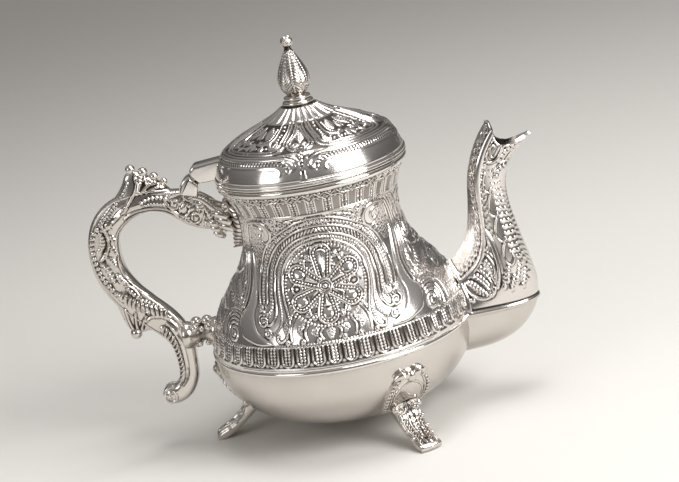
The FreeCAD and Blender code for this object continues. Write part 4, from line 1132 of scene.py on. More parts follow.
    def chasing(self, across: Points, up: Points) -> Points:
        """Draws the chased work of the lid.

        Args:
            across: length from the nearest meeting of two polished fields.
            up: length up from the top edge of the band.

        Returns:
            The height of each point.
        """
        work = Relief(across, up)
        band = np.flatnonzero(up < -0.8)
        work.lift(band, 0.36 * ease(0.5, 1.6, across[band]) * ease(-9.4, -8.8, up[band]))
        for knots, half, height in self.band_lines:
            work.line(knots, half, height)
        work.height[work.beside(self.band_rope, 0.85)[0]] = 0
        work.rope(self.band_rope, 0.8, 0.66, 1.5)
        for spot in self.band_bosses:
            work.dot(spot, 0.62, 0.5)
        for knots in self.dome_stems:
            work.line(knots, 0.46, 0.62)
        for knots, radius, height, pitch in self.dome_beads:
            work.beads(knots, radius, height, pitch)
        work.line(spiral((2.0, 7.0), 1.35, 1.3, 90), 0.4, 0.45)
        for knots, half, height, ribs in self.dome_broad_leaves:
            work.leaf(knots, half, height, ribs)
        for knots in self.dome_leaves:
            work.leaf(knots, 1.2, 0.5, 1.1)
        for centre, size, turns in self.dome_curls:
            work.line(spiral(centre, size, turns, 90), 0.34, 0.5)
        work.dot((12.6, 8.2), 0.8, 0.45)
        for spot in self.dome_bosses:
            work.dot(spot, 0.6, 0.42)
        # the fluted top round the knob
        top = np.flatnonzero(up > 22.4)
        share = across[top] / np.maximum(self._radius(up[top]), 1) * self.flutes / TURN
        share = np.abs(share % 1 - 0.5) * 2
        flute = np.sqrt(np.clip(share * 1.5, 0, 1))
        work.lift(top, 0.5 * flute * ease(22.4, 24.0, up[top] + 1.6 * share))
        work.line(np.array([(0, 22.3), (30, 22.3)]), 0.4, 0.45)
        return work.height

    def _radius(self, up: Points) -> Points:
        """Gives the dome's radius at a length up from the band."""
        high = smooth_curve(self.dome[2:], self.grain)
        return np.interp(up, lengths(high), high[:, 0])

    def _rings(self) -> None:
        """Makes the double bead of the flange, the sleeve and the stepped collar under the knob."""
        upper = arc((38.75, 111.85), (0.75, 0.72), 1.5, -1.3, 9)
        lower = arc((38.85, 110.8), (0.75, 0.6), 1.2, -1.5, 9)
        flange = np.vstack([(36.8, 112.6), upper, lower, (36.8, 110.2)])
        piece("lid_bead_flange", spun(flange, 256, closed=True), BRIGHT, ["lid_flange"], "lid")
        sleeve = np.array([(35.6, 112.6), (35.6, 107.0), (35.3, 106.7), (34.8, 106.7), (34.8, 112.6)])
        piece("lid_sleeve_tube", spun(sleeve, 160, closed=True), INSIDE, ["lid_sleeve"], "lid")
        ring = arc((5.4, 136.75), (1.0, 1.0), -1.5, 1.4, 9)
        step = arc((4.6, 138.7), (0.9, 0.85), -1.3, 1.4, 9)
        collar = np.vstack([(0, 135.72), ring, step, (3.4, 139.7), (0, 139.7)])
        piece("knob_rings", spun(collar, 96), CHASED_PLAIN, ["knob_collar"], "lid")

    def _knob(self) -> None:
        """Makes the knob: a bulb wrapped in leaves, ending in a textured ball."""
        middle, size = self.tip
        ball = arc((0, middle), (size, size), 0.56 - TURN / 4, TURN / 4, 40)
        outline = np.vstack([(0, self.bulb[0][1]), smooth_curve(self.bulb, 0.19), ball])
        mesh = spun(outline, 144)
        rows = coordinates(mesh)
        radius = np.hypot(rows[:, 0], rows[:, 1])
        turn = np.arctan2(rows[:, 1], rows[:, 0])
        up = rows[:, 2]
        # six ribbed leaves with a row of beads between them
        pitch = TURN / self.petals
        over = np.abs(folded(turn, pitch)) * radius
        half = pitch / 2 * radius
        leaf = 0.34 * rounded(over, np.maximum(half - 0.45, 0.1))
        rib = 0.62 + 0.38 * np.cos(TURN * (up - 0.9 * over) / 1.35)
        height = leaf * (0.5 + 0.5 * ease(0.05, 0.4, over)) * rib
        height = np.maximum(height, 0.34 * rounded(np.hypot(half - over, up % 1.0 - 0.5), 0.5))
        height *= ease(140.2, 141.6, up) * (1 - ease(157.2, 158.6, up))
        # the ball's struck texture
        tip = ease(159.4, 160.0, up)
        grain = 0.5 + 0.5 * np.cos(9 * turn) * np.cos(TURN * up / 1.5)
        height = height + 0.22 * grain * tip * (radius > 0.4)
        out = np.c_[rows[:, 0], rows[:, 1], (up - middle) * tip]
        out *= (radius > 0.01)[:, None] / np.maximum(np.linalg.norm(out, axis=1), 0.05)[:, None]
        place(mesh, rows + (height - 0.2 * (up > 140.2))[:, None] * out)
        # the ground between the leaves and the ball's texture take tarnish and painted shade
        mark(mesh, np.clip(1 - height / 0.2, 0, 1) * ease(140.2, 141.0, up) * (1 - 0.6 * tip))
        piece("knob_bulb", mesh, CAST, ["knob"], "lid")



# The spout
@dataclass
class Spout:
    """The beak spout: chased above the seam, plain below it."""

    back: Pairs = (
        (44, 57.2), (51.4, 61.9), (55.9, 67), (58.4, 73), (59.9, 80.5), (61, 88.1), (62.3, 95.6),
        (65.7, 104.6), (73.1, 115.6),
    )
    front: Pairs = (
        (44, 20.7), (58.6, 21.2), (72.8, 26.2), (82.5, 38.9), (81.9, 55.5), (78.1, 73.5), (76.7, 87.1),
        (79.7, 97.5), (90.3, 107.5),
    )
    ridge: Sequence[float] = (8.5, 8.2, 7.8, 7.4, 7.0, 6.6, 6.2, 5.6, 5.0)
    flank: Sequence[float] = (13.4, 13.2, 12.0, 10.8, 9.4, 7.8, 6.8, 6.4, 5.4)
    notch: Pairs = (
        (72.6, 119.6), (73.7, 116.4), (75.0, 110.5), (76.4, 106.6), (79.0, 105.5), (83.3, 105.7),
        (88.0, 106.9), (92.0, 108.1),
    )
    wall: float = 1.1
    seam: float = Vessel.wall[0][1]
    reach: float = 118.0
    root_wall: Pairs = ((20, 47), (28.3, 52.6), (39.7, 53.8), (46.97, 53.2), (55, 50), (62.58, 45.5))
    rows: int = 420
    around: int = 240
    root_stems: Rows = (
        (((53.2, 50.6), (53.1, 46.7), (55.6, 43.0), (59.8, 41.3), (63.2, 42.2), (64.7, 45.1)), 0.5, 0.6),
        (((53.4, 51.2), (55.9, 51.2), (59.3, 48.7), (61.8, 45.1), (62.1, 42.4)), 0.5, 0.65),
        (((56.0, 52.9), (57.8, 54.2), (60.7, 52.3), (63.2, 48.6), (63.7, 44.0)), 0.5, 0.65),
        (((59.7, 59.9), (62.2, 60.4), (64.8, 57.3), (65.9, 52.6), (65.1, 47.0)), 0.5, 0.65),
        (((61.9, 66.9), (61.7, 62.4), (63.3, 59.5)), 0.42, 0.5),
        (((62.9, 68.9), (64.3, 67.7), (65.0, 63.1), (65.7, 58.4)), 0.5, 0.6),
        (((63.4, 69.8), (65.3, 66.5), (66.4, 61.5), (67.2, 56.2), (67.2, 51.1), (65.7, 45.0)), 0.6, 0.7),
        (((64.5, 70.3), (66.7, 65.3), (68.0, 59.3), (68.6, 50.9)), 0.45, 0.55),
    )
    root_leaves: Rows = (
        ((54.4, 49.2), (56.8, 46.8), (58.9, 44.4), (61.0, 42.9)),
        ((57.2, 51.9), (59.5, 49.9), (61.3, 47.0), (62.6, 44.4)),
        ((60.4, 58.2), (62.5, 56.0), (63.8, 52.6), (64.3, 49.2)),
        ((62.4, 66.2), (63.3, 63.4), (64.3, 60.7)), ((59.2, 55.0), (61.0, 53.2), (62.4, 50.6)),
    )
    root_buds: Pairs = ((53.6, 50.3), (56.9, 53.8), (60.2, 59.3), (63.0, 68.2))
    flowers: Rows = (
        ((78.2, 50.9), (77.6, 48.4), (76.8, 46.0), (75.9, 43.9)),
        ((69.9, 50.6), (69.2, 47.6), (68.3, 44.6)), ((73.1, 48.6), (71.9, 45.7), (71.1, 43.4)),
        ((76.0, 52.5), (74.8, 49.0), (73.9, 46.0)), ((71.2, 52.6), (70.8, 49.6), (70.2, 47.0)),
    )
    belly_dots: Pairs = ((54.1, 41.6), (55.3, 41.4), (79.4, 53.0), (79.9, 49.6), (78.6, 46.6))
    lip_lines: Rows = (
        (((73.7, 106.4), (71.2, 103.6), (70.0, 100.4), (70.2, 97.4), (72.6, 97.4), (76.0, 101.0),
         (80.5, 104.9)), 0.6, 0.65),
        (((73.8, 103.8), (71.6, 100.8), (72.1, 99.2), (74.3, 100.9), (78.5, 104.5)), 0.45, 0.55),
        (((88.4, 105.6), (84.7, 103.4), (81.0, 101.0), (78.0, 98.5), (76.4, 96.7), (74.8, 97.0)), 0.42,
         0.5),
        (((78.4, 97.2), (76.2, 96.9), (74.0, 95.6), (72.0, 92.4)), 0.42, 0.5),
        (((68.2, 93.0), (67.0, 90.0), (67.0, 87.0), (68.4, 85.0), (69.6, 86.4)), 0.45, 0.55),
        (((69.0, 84.4), (67.9, 81.0), (67.7, 77.4), (69.0, 74.8), (70.6, 75.8)), 0.45, 0.55),
        (((69.9, 74.0), (68.9, 70.6), (68.9, 66.6), (70.4, 64.0), (72.2, 65.0)), 0.45, 0.55),
        (((71.4, 63.2), (70.4, 60.0), (70.6, 55.8), (72.4, 53.6), (74.0, 55.4), (73.9, 58.0)), 0.45, 0.55),
    )
    lip_beads: Rows = (
        (((88.0, 106.4), (86.0, 105.4), (83.4, 104.2), (80.0, 102.6), (77.8, 101.0), (75.9, 99.1),
         (74.2, 97.2)), 0.95, 2.0),
        (((78.4, 95.6), (75.6, 94.9), (73.9, 93.6), (72.8, 91.4)), 0.85, 1.9),
        (((72.5, 108.5), (69.9, 103.3), (67.3, 94.8), (65.7, 88.7), (64.8, 83.8), (64.4, 77.4),
         (64.4, 72.3)), 0.5, 1.25),
    )
    hook_rows: Rows = (
        (((71.2, 107.0), (68.9, 99.0), (66.9, 93.4), (66.2, 83.8), (65.8, 77.4), (65.9, 72.0),
         (66.9, 67.4)), 0.95, 2.6),
        (((70.9, 94.1), (70.9, 89.0), (71.3, 83.9), (71.4, 78.7), (72.2, 73.4), (73.0, 68.7), (74.0, 59.6)),
         0.8, 2.5),
        (((73.0, 88.9), (73.3, 79.5), (74.4, 70.4), (75.8, 61.1), (76.6, 54.8)), 0.8, 2.5),
        (((74.6, 85.1), (76.2, 71.2), (77.7, 63.2), (78.8, 56.4)), 0.7, 2.4),
    )

    def build(self) -> None:
        """Makes the tube once, dresses it and parts it at the seam."""
        skin, across = self._skin()
        bore = self._bore(skin)
        grid = np.concatenate([skin, bore[::-1]])
        grid = np.concatenate([grid, grid[:1]])
        height = soften(self._chasing(skin, across))
        normal = self._normals(skin)
        grid[:self.rows + 1] += height[..., None] * normal
        deep = np.zeros(grid.shape[:2])
        # the creases take tarnish and painted shade
        deep[:self.rows + 1] = creases(height, (0.28, 0.25))
        for name, up, slot, finish, cad in (
            ("spout_chasing", 1, Slot.RELIEF, CHASED, "spout_upper"),
            ("spout_plain_belly", -1, Slot.PLAIN, SATIN_SIDE, "spout_belly"),
        ):
            mesh = woven(grid, deep)
            everything = mesh.verts[:] + mesh.edges[:] + mesh.faces[:]
            bmesh.ops.bisect_plane(
                mesh, geom=everything, plane_co=(0, 0, self.seam), plane_no=(0, 0, -up), clear_outer=True,
                dist=1e-5)
            bmesh.ops.holes_fill(mesh, edges=[e for e in mesh.edges if e.is_boundary], sides=0)
            bmesh.ops.recalc_face_normals(mesh, faces=mesh.faces)
            piece(name, mesh, finish, [cad])

    def _skin(self) -> tuple[Points, Points]:
        """Lofts the outside.

        Returns:
            Positions in rows along and columns around, and each one's length over the side from the ridge.
        """
        back, front = np.array(self.back, float), np.array(self.front, float)
        stations = np.c_[back, front, self.ridge, self.flank]
        mid = (back + front) / 2
        places = lengths(mid)
        fine = cubic(places, stations, np.linspace(0, places[-1], 4 * self.rows))
        half = self.around // 2
        roof = self.around // 12
        skin = np.zeros((len(fine), self.around + 1, 3))
        across = np.zeros((len(fine), self.around + 1))
        for row, (bx, bz, fx, fz, ridge, flank) in enumerate(fine):
            span = math.hypot(fx - bx, fz - bz)
            knots = ((0.2 * span, ridge), (0.52 * span, flank), (0.86 * span, 0.72 * flank), (span, 0),
                     (0.86 * span, -0.72 * flank), (0.52 * span, -flank), (0.2 * span, -ridge))
            side = smooth_curve(knots, 0.4)
            run = lengths(side)
            even = np.linspace(0, run[-1] / 2, half - roof + 1)
            flat = np.linspace(0, 1, roof, endpoint=False)
            bent = np.c_[np.interp(even, run, side[:, 0]), np.interp(even, run, side[:, 1])]
            part = np.vstack([flat[:, None] * side[0], bent])
            over = np.r_[np.linalg.norm(side[0]) * (flat - 1), even]
            loop = np.vstack([part, part[-2::-1] * [1, -1]])
            share = loop[:, 0] / span
            skin[row] = np.c_[bx + share * (fx - bx), -loop[:, 1], bz + share * (fz - bz)]
            across[row] = np.r_[over, over[-2::-1]]
        return self._trimmed(skin, across)

    def _trimmed(self, skin: Points, across: Points) -> tuple[Points, Points]:
        """Ends each column at the mouth's edge and spaces its rows evenly."""
        edge = smooth_curve(self.notch, 0.3)
        order = np.argsort(edge[:, 0])
        over = skin[..., 2] > np.interp(skin[..., 0], edge[order, 0], edge[order, 1], left=999, right=108.3)
        over[: len(skin) // 2] = False
        last = np.where(over.any(0), over.argmax(0), len(skin) - 1)
        last[0] = last[-1] = last[:: len(last) - 1].max()
        shares = np.linspace(0, 1, self.rows + 1)
        kept = np.zeros((self.rows + 1,) + skin.shape[1:])
        lengths = np.zeros((self.rows + 1, skin.shape[1]))
        for column, end in enumerate(last):
            at = shares * end
            index = np.arange(len(skin))
            for axis in range(3):
                kept[:, column, axis] = np.interp(at, index, skin[:, column, axis])
            lengths[:, column] = np.interp(at, index, across[:, column])
        return kept, lengths

    def _normals(self, skin: Points) -> Points:
        """Gives the outward direction at each position of the outside."""
        along = np.gradient(skin, axis=0)
        around = np.gradient(skin, axis=1)
        around[:, 0] = around[:, -1] = skin[:, 1] - skin[:, -2]
        normal = np.cross(around, along)
        normal /= np.maximum(np.linalg.norm(normal, axis=2), 1e-9)[..., None]
        middle = skin.mean(1)
        away = ((skin - middle[:, None]) * normal).sum(2).mean()
        return normal if away > 0 else -normal

    def _bore(self, skin: Points) -> Points:
        """Makes the inside by drawing a few rows in by the wall."""
        picked = np.unique(np.r_[np.linspace(0, len(skin) - 1, 40).astype(int)])
        return skin[picked] - self.wall * self._normals(skin)[picked]

    def _chasing(self, skin: Points, across: Points) -> Points:
        """Draws the chased work.

        Args:
            skin: positions of the outside.
            across: length over the side from the ridge.

        Returns:
            The height of each position.
        """
        shape = across.shape
        x, y, z = skin.reshape(-1, 3).T
        over = across.ravel()
        length = np.broadcast_to(np.linspace(0, 1, shape[0])[:, None], shape).ravel() * self.reach
        whole = np.broadcast_to(across.max(1)[:, None], shape).ravel()
        share = np.clip(over / whole, 0, 1)
        work = Relief(*as_seen(x, y, z))
        self._leaves(work)
        self._hooks(work)
        work.height[over < 2.2] = 0
        teeth = (share > 0.82) & (z > 46)
        comb = 0.3 * np.sqrt(0.5 + 0.5 * np.cos(TURN * (length + 0.6 * over) / 1.45)) * ease(0.82, 0.9, share)
        work.height[teeth] = comb[teeth]
        work.height = np.maximum(work.height, 0.7 * rounded(over - 0.7, 1.45))
        roof = over < -0.7
        wave = np.abs(over + 3.2 + 1.6 * np.sin(TURN * length / 9.0))
        scroll = 0.42 * rounded(wave, 0.45)
        leaf = 0.36 * rounded(over + 3.2 - 1.5 * np.sin(TURN * length / 9.0), 1.1)
        leaf *= 0.55 + 0.45 * np.cos(TURN * length / 1.3)
        work.height[roof] = np.maximum(scroll, leaf)[roof]
        lip = 118 - length
        rim = 0.5 * rounded(lip - 0.6, 0.7) * ease(89.5, 85.5, x)
        work.height = np.maximum(work.height * ease(90.6, 87.5, x), rim)
        plain = (z < 43.5 + 0.1 * np.abs(y)) & (over > -0.4)
        work.height[plain] *= ease(41.0, 43.5, z[plain])
        work.height[z < self.seam + 1.6] = 0
        seam = 0.95 * rounded(z - self.seam, 1.1) * (over > 0)
        radius = np.hypot(x, y)
        gap = radius - np.interp(z, *np.transpose(self.root_wall))
        collar = 0.8 * rounded(gap - 1.3, 1.3) * (z > self.seam)
        return np.maximum(np.maximum(work.height, seam), collar).reshape(shape)

    def _leaves(self, work: Relief) -> None:
        """Raises the beaded leaves at the root, the bright stems beside them and the hanging flowers."""
        for knots, half, height in self.root_stems:
            work.line(knots, half, height)
        for knots in self.root_leaves:
            work.rope(knots, 1.25, 0.65, 1.5)
        for spot in self.root_buds:
            work.dot(spot, 0.95, 0.7)
        for knots in self.flowers:
            work.beads(knots, 0.8, 0.5, 1.7)
            work.dot(knots[-1], 1.0, 0.5)
        for spot in self.belly_dots:
            work.dot(spot, 0.7, 0.45)

    def _hooks(self, work: Relief) -> None:
        """Raises the looped band under the lip with its bead rows, the hooked chain and the struck hooks."""
        for knots, half, height in self.lip_lines:
            work.line(knots, half, height)
        for knots, radius, pitch in self.lip_beads:
            work.beads(knots, radius, 0.6, pitch)
        for knots, size, pitch in self.hook_rows:
            for spot in smooth_curve(knots, pitch):
                work.line(spiral(tuple(spot), size, 0.5, 190, size), 0.3, 0.24)


# The handle
def swept(knots: Pairs, around: int = 14, spacing: float = 0.5) -> bmesh.types.BMesh:
    """Sweeps a round section along a path.

    Args:
        knots: rows of x, y, z and the section's radius there.
        around: how many faces run round it.
        spacing: about how long each face is.

    Returns:
        The closed mesh.
    """
    line = smooth_curve(knots, spacing)
    centre, radius = line[:, :3], line[:, 3]
    tangent = np.gradient(centre, axis=0)
    tangent /= np.linalg.norm(tangent, axis=1)[:, None]
    side = np.cross(tangent, (0.0, 1.0, 0.02))
    side /= np.linalg.norm(side, axis=1)[:, None]
    rise = np.cross(tangent, side)
    count = len(line)

    def shape(along: Points, over: Points) -> Points:
        """Bends the grid round the path."""
        row = np.rint(along * (count - 1)).astype(int)
        turn = TURN * over
        size = radius[row][:, None]
        return centre[row] + size * (np.cos(turn)[:, None] * side[row] + np.sin(turn)[:, None] * rise[row])

    mesh = sheet(shape, count - 1, around)
    mark(mesh, np.zeros(len(mesh.verts)))
    return mesh


@dataclass
class Handle:
    """The cast scroll handle with crest, spur and curled tail, its leaf plate and its bracket."""

    stations: Pairs = (
        (-33.9, 93.6, 5.0), (-43.4, 96.2, 5.8), (-50.5, 100.6, 7.2), (-59.7, 105.1, 5.1), (-68.8, 106.9, 4.2),
        (-79.1, 105.6, 5.5), (-87.7, 99.4, 6.2), (-91.0, 87.6, 6.6), (-89.6, 77.4, 6.6), (-84.9, 68.4, 6.5),
        (-78.1, 60.5, 6.4), (-71.6, 53.7, 5.9), (-67.4, 46.2, 5.0), (-66.6, 37.0, 4.2), (-67.4, 29.7, 4.0),
        (-70.8, 24.3, 4.0), (-75.7, 22.7, 4.0))
    thick: float = 4.5
    rows: int = 560
    around: int = 120
    stems: Rows = (
        (((-70.5, 116.6), (-71.0, 112.4), (-74.5, 107.3), (-77.9, 102.9)), 0.6, 0.7),
        (((-73.4, 109.2), (-76.8, 104.8), (-83.6, 99.6), (-88.5, 97.0)), 0.55, 0.7),
        (((-88.2, 98.4), (-86.8, 94.5), (-87.2, 90.2), (-89.4, 86.3), (-91.6, 84.6)), 0.55, 0.75),
        (((-83.9, 72.2), (-81.8, 71.5), (-80.1, 69.3), (-79.1, 67.0)), 0.5, 0.7),
        (((-71.5, 109.6), (-67.1, 110.2), (-61.4, 109.5), (-55.7, 109.1), (-50.4, 106.6), (-45.9, 103.9)),
         0.5, 0.65),
        (((-78.4, 100.1), (-74.4, 102.2), (-70.0, 102.8), (-64.3, 102.4), (-60.2, 100.9), (-56.6, 97.3)),
         0.5, 0.65),
        (((-60.4, 104.6), (-57.6, 99.8), (-53.0, 97.4), (-50.6, 99.6), (-47.6, 98.0), (-46.8, 94.2)), 0.5,
         0.65),
        (((-84.1, 86.0), (-84.4, 80.0), (-82.8, 75.4), (-79.6, 71.0), (-74.0, 65.6), (-68.4, 60.6)), 0.45,
         0.55),
        (((-79.0, 55.4), (-73.0, 56.8), (-68.4, 53.6), (-66.0, 50.0)), 0.5, 0.6),
        (((-70.4, 53.0), (-67.2, 46.0), (-66.2, 38.0), (-66.9, 30.0), (-70.0, 25.0)), 0.5, 0.6),
        (((-70.7, 110.2), (-69.8, 112.6), (-69.2, 114.2)), 0.7, 0.8),
        (((-69.3, 109.9), (-67.4, 111.6), (-65.8, 112.8)), 0.7, 0.8),
        (((-67.2, 109.8), (-64.8, 110.8), (-62.6, 111.1)), 0.6, 0.7),
        (((-86.5, 62.0), (-86.2, 58.0), (-85.4, 53.5)), 0.6, 0.8),
        (((-82.6, 59.6), (-83.2, 56.4), (-83.4, 53.4)), 0.6, 0.8),
        (((-78.6, 57.4), (-80.4, 55.0), (-81.6, 52.6)), 0.6, 0.8),
    )
    bead_rows: Rows = (
        (((-90.8, 98.1), (-93.0, 95.0), (-94.1, 91.6), (-94.4, 88.0), (-94.2, 84.3), (-93.6, 80.6),
         (-92.6, 76.8), (-91.0, 73.6), (-89.3, 70.4), (-87.2, 67.8), (-85.2, 65.2)), 1.05, 0.85, 2.2),
        (((-74.4, 115.2), (-76.5, 112.0), (-79.7, 108.3), (-83.3, 104.7), (-86.5, 101.6), (-88.7, 99.2)),
         0.75, 0.65, 1.65),
        (((-80.3, 105.5), (-82.9, 103.1), (-85.2, 100.7), (-86.6, 99.1)), 0.5, 0.5, 1.1),
        (((-90.2, 97.3), (-89.3, 93.5), (-90.2, 90.1), (-92.0, 88.2)), 0.65, 0.65, 1.5),
        (((-91.6, 82.8), (-90.1, 81.0), (-88.8, 78.6), (-88.2, 75.9), (-87.6, 73.4)), 0.85, 0.75, 1.95),
        (((-83.4, 70.7), (-82.0, 68.6), (-80.3, 66.5)), 0.75, 0.7, 1.8),
        (((-78.8, 64.7), (-76.1, 63.5), (-72.9, 61.4), (-69.8, 58.7)), 0.7, 0.65, 1.6),
        (((-70.1, 105.7), (-67.0, 106.9), (-63.4, 106.9), (-60.0, 105.6)), 0.8, 0.7, 1.7),
        (((-69.7, 104.2), (-66.8, 104.3), (-63.2, 104.0), (-60.5, 103.1)), 0.55, 0.55, 1.25),
        (((-46.3, 101.8), (-45.1, 98.7), (-43.9, 95.6), (-43.6, 93.3)), 0.65, 0.65, 1.45),
        (((-90.4, 64.6), (-89.6, 61.0), (-88.4, 57.0)), 0.8, 0.8, 1.8),
    )
    leaves: Rows = (
        (((-86.9, 97.4), (-85.2, 98.4), (-84.0, 96.0)), 1.3, 1.2),
        (((-87.0, 93.4), (-85.2, 93.4), (-84.4, 90.8)), 1.3, 1.2),
        (((-87.4, 89.6), (-85.8, 88.6), (-85.0, 85.6)), 1.3, 1.2),
        (((-89.4, 85.6), (-87.0, 83.4), (-85.8, 80.0)), 1.4, 1.2),
        (((-60.4, 106.6), (-55.6, 107.4), (-52.2, 106.9)), 1.3, 1.2),
        (((-56.4, 96.4), (-53.4, 95.6), (-52.0, 92.8)), 1.5, 1.2),
        (((-48.4, 102.6), (-46.8, 98.6), (-45.8, 94.4)), 1.3, 1.2),
        (((-47.4, 93.6), (-44.4, 92.2), (-42.2, 93.6)), 1.4, 1.2),
        (((-54.6, 104.6), (-53.0, 102.0), (-49.8, 101.0)), 1.3, 1.2),
        (((-86.4, 78.0), (-84.9, 74.4), (-82.2, 72.8)), 1.3, 1.2),
        (((-42.0, 98.0), (-39.4, 95.0), (-36.4, 93.8)), 1.8, 1.4),
        (((-42.0, 93.4), (-38.6, 91.2), (-35.4, 91.6)), 1.8, 1.4),
    )
    volutes: Rows = (
        ((-56.9, 103.1), 2.2, 1.6), ((-50.8, 104.7), 2.0, -1.6), ((-49.6, 95.9), 2.6, 1.8),
        ((-53.9, 99.9), 1.5, -1.4), ((-68.4, 116.4), 2.5, -1.5), ((-64.4, 114.0), 2.2, -1.5),
        ((-60.8, 111.8), 1.6, -1.4),
    )
    tooth_rows: Rows = (
        (((-86.8, 68.0), (-83.1, 64.8), (-79.3, 61.9), (-74.0, 59.5), (-69.5, 56.8)), 2.0, 2.0),
        (((-72.8, 51.0), (-69.9, 45.0), (-69.0, 38.0), (-69.5, 31.5), (-72.2, 27.2)), 1.7, 2.0),
    )
    crest_balls: Pairs = (
        (-73.2, 121.1, 2.1), (-68.4, 119.1, 2.1), (-64.2, 116.6, 1.9), (-60.5, 113.9, 1.5),
    )
    bracket: Pairs = ((50.2, 5.6), (54.6, 5.0), (57.9, 3.1), (61.4, 4.7), (66.2, 5.6))
    bracket_balls: Pairs = ((-60.0, 52.0, 2.5), (-55.4, 52.0, 2.5), (-60.8, 42.7, 1.6), (-55.0, 42.7, 1.6))
    bracket_beads: Pairs = (
        (-60.6, 3.3, 50.4, 1.8), (-57.8, 2.9, 49.6, 1.3), (-54.8, 3.4, 50.4, 1.8), (-59.6, 2.5, 43.2, 1.2),
        (-56.2, 2.5, 43.2, 1.2),
    )
    crest_root: Pairs = (
        (-86.0, 101.5), (-82.6, 103.6), (-79.1, 105.6), (-76.2, 106.2), (-73.4, 106.6), (-70.6, 106.9),
        (-67.8, 106.8), (-65.0, 106.4), (-62.2, 105.8), (-58.6, 104.6),
    )
    crest_edge: Pairs = (
        (-91.0, 101.6), (-86.8, 106.4), (-81.8, 110.9), (-78.0, 115.4), (-75.6, 119.4), (-72.2, 120.4),
        (-68.2, 118.6), (-64.2, 116.0), (-60.6, 112.8), (-56.8, 108.4),
    )
    spur_root: Pairs = (
        (-88.4, 75.0), (-86.6, 71.4), (-84.9, 68.4), (-82.6, 65.6), (-80.4, 63.0), (-78.1, 60.5),
        (-75.0, 57.2), (-71.6, 53.7),
    )
    spur_edge: Pairs = (
        (-91.4, 68.0), (-90.6, 63.0), (-89.6, 58.4), (-88.2, 54.4), (-85.4, 51.8), (-81.8, 52.0),
        (-76.6, 51.6), (-71.0, 50.0),
    )
    spur_ball: tuple[float, float, float] = (-85.7, 51.7, 2.5)
    tail: tuple[float, float, float] = (-76.1, 22.7, 4.3)
    bracket_level: float = 46.97
    grip: Pairs = (
        (-52.5, 2.4, 105.6, 0.9), (-48.6, 2.8, 105.4, 1.1), (-45.6, 3.1, 103.8, 1.3),
        (-43.5, 3.3, 101.6, 1.5), (-41.5, 3.4, 99.4, 1.6), (-39.0, 3.5, 98.2, 1.6),
        (-36.8, 3.5, 98.8, 1.4), (-36.3, 3.4, 100.3, 1.1),
    )
    grip_middle: Pairs = (
        (-50.5, 0, 105.8, 1.2), (-46.6, 0, 104.4, 1.7), (-43.6, 0, 102.0, 1.9), (-40.6, 0, 100.0, 1.9),
        (-37.0, 0, 99.6, 1.4),
    )

    def build(self) -> None:
        """Makes the scroll, its ornaments, the plate and the bracket."""
        self._scroll()
        self._crest()
        self._plate()
        self._bracket()

    def _scroll(self) -> None:
        """Sweeps the scroll and chases both its sides."""
        knots = np.array(self.stations, float)
        places = np.r_[0, np.cumsum(np.linalg.norm(np.diff(knots[:, :2], axis=0), axis=1))]
        length = places[-1]
        line = cubic(places, knots, np.linspace(0, length, self.rows + 1))
        out = outward(line[:, :2])
        turn = np.linspace(0, TURN, self.around + 1)
        flat = np.sign(np.cos(turn)) * np.abs(np.cos(turn)) ** 0.72
        deep = np.sign(np.sin(turn)) * np.abs(np.sin(turn)) ** 0.6
        across = line[:, 2:3] * flat
        share = np.broadcast_to(np.abs(flat), across.shape)
        side = np.broadcast_to(np.abs(deep), across.shape)
        x = line[:, :1] + across * out[:, :1]
        z = line[:, 1:2] + across * out[:, 1:]
        run = np.linspace(0, length, self.rows + 1)[:, None]
        sunk = ease(6, 16, run) * ease(126, 116, run)
        ground = -0.4 * ease(0.84, 0.7, share) * sunk
        rim = 0.3 * ease(0.76, 0.86, share) * sunk
        level = self._chasing(x, side * (self.thick - 0.55), z) * ease(0.2, 0.5, side)
        height = np.maximum(ground + level, rim + ground)
        reach = across + 0.6 * height * flat * (1 - np.abs(deep))
        thick = np.sign(deep) * (np.abs(deep) * (self.thick - 0.55) + height * np.abs(deep))
        grid = np.stack([line[:, :1] + reach * out[:, :1], thick, line[:, 1:2] + reach * out[:, 1:]], axis=2)
        # the creases of the chasing take tarnish and painted shade
        recess = creases(height, (0.33, 0.3)) * ease(0.15, 0.45, np.abs(deep))
        piece("handle_scroll", woven(grid, recess), CAST, ["handle"])

    def _chasing(self, x: Points, y: Points, z: Points) -> Points:
        """Draws the leaves, bead rows and volutes chased on both sides of the handle.

        Args:
            x: how far out each point lies.
            y: how far from the handle's middle plane.
            z: its height.

        Returns:
            How far each point is raised.
        """
        work = Relief(*(v.ravel() for v in as_seen(x, y, z)))
        for knots, half, height in self.stems:
            work.line(knots, half, height)
        for knots, radius, height, pitch in self.bead_rows:
            work.beads(knots, radius, height, pitch)
        for knots, half, ribs in self.leaves:
            work.leaf(knots, half, 0.75, ribs)
        for centre, size, turns in self.volutes:
            work.line(spiral(centre, size, turns, 200), 0.5, 0.7)
            work.dot(centre, 0.75, 0.7)
        for knots, half, pitch in self.tooth_rows:
            work.rope(knots, half, 0.95, pitch)
        return soften(work.height.reshape(x.shape))

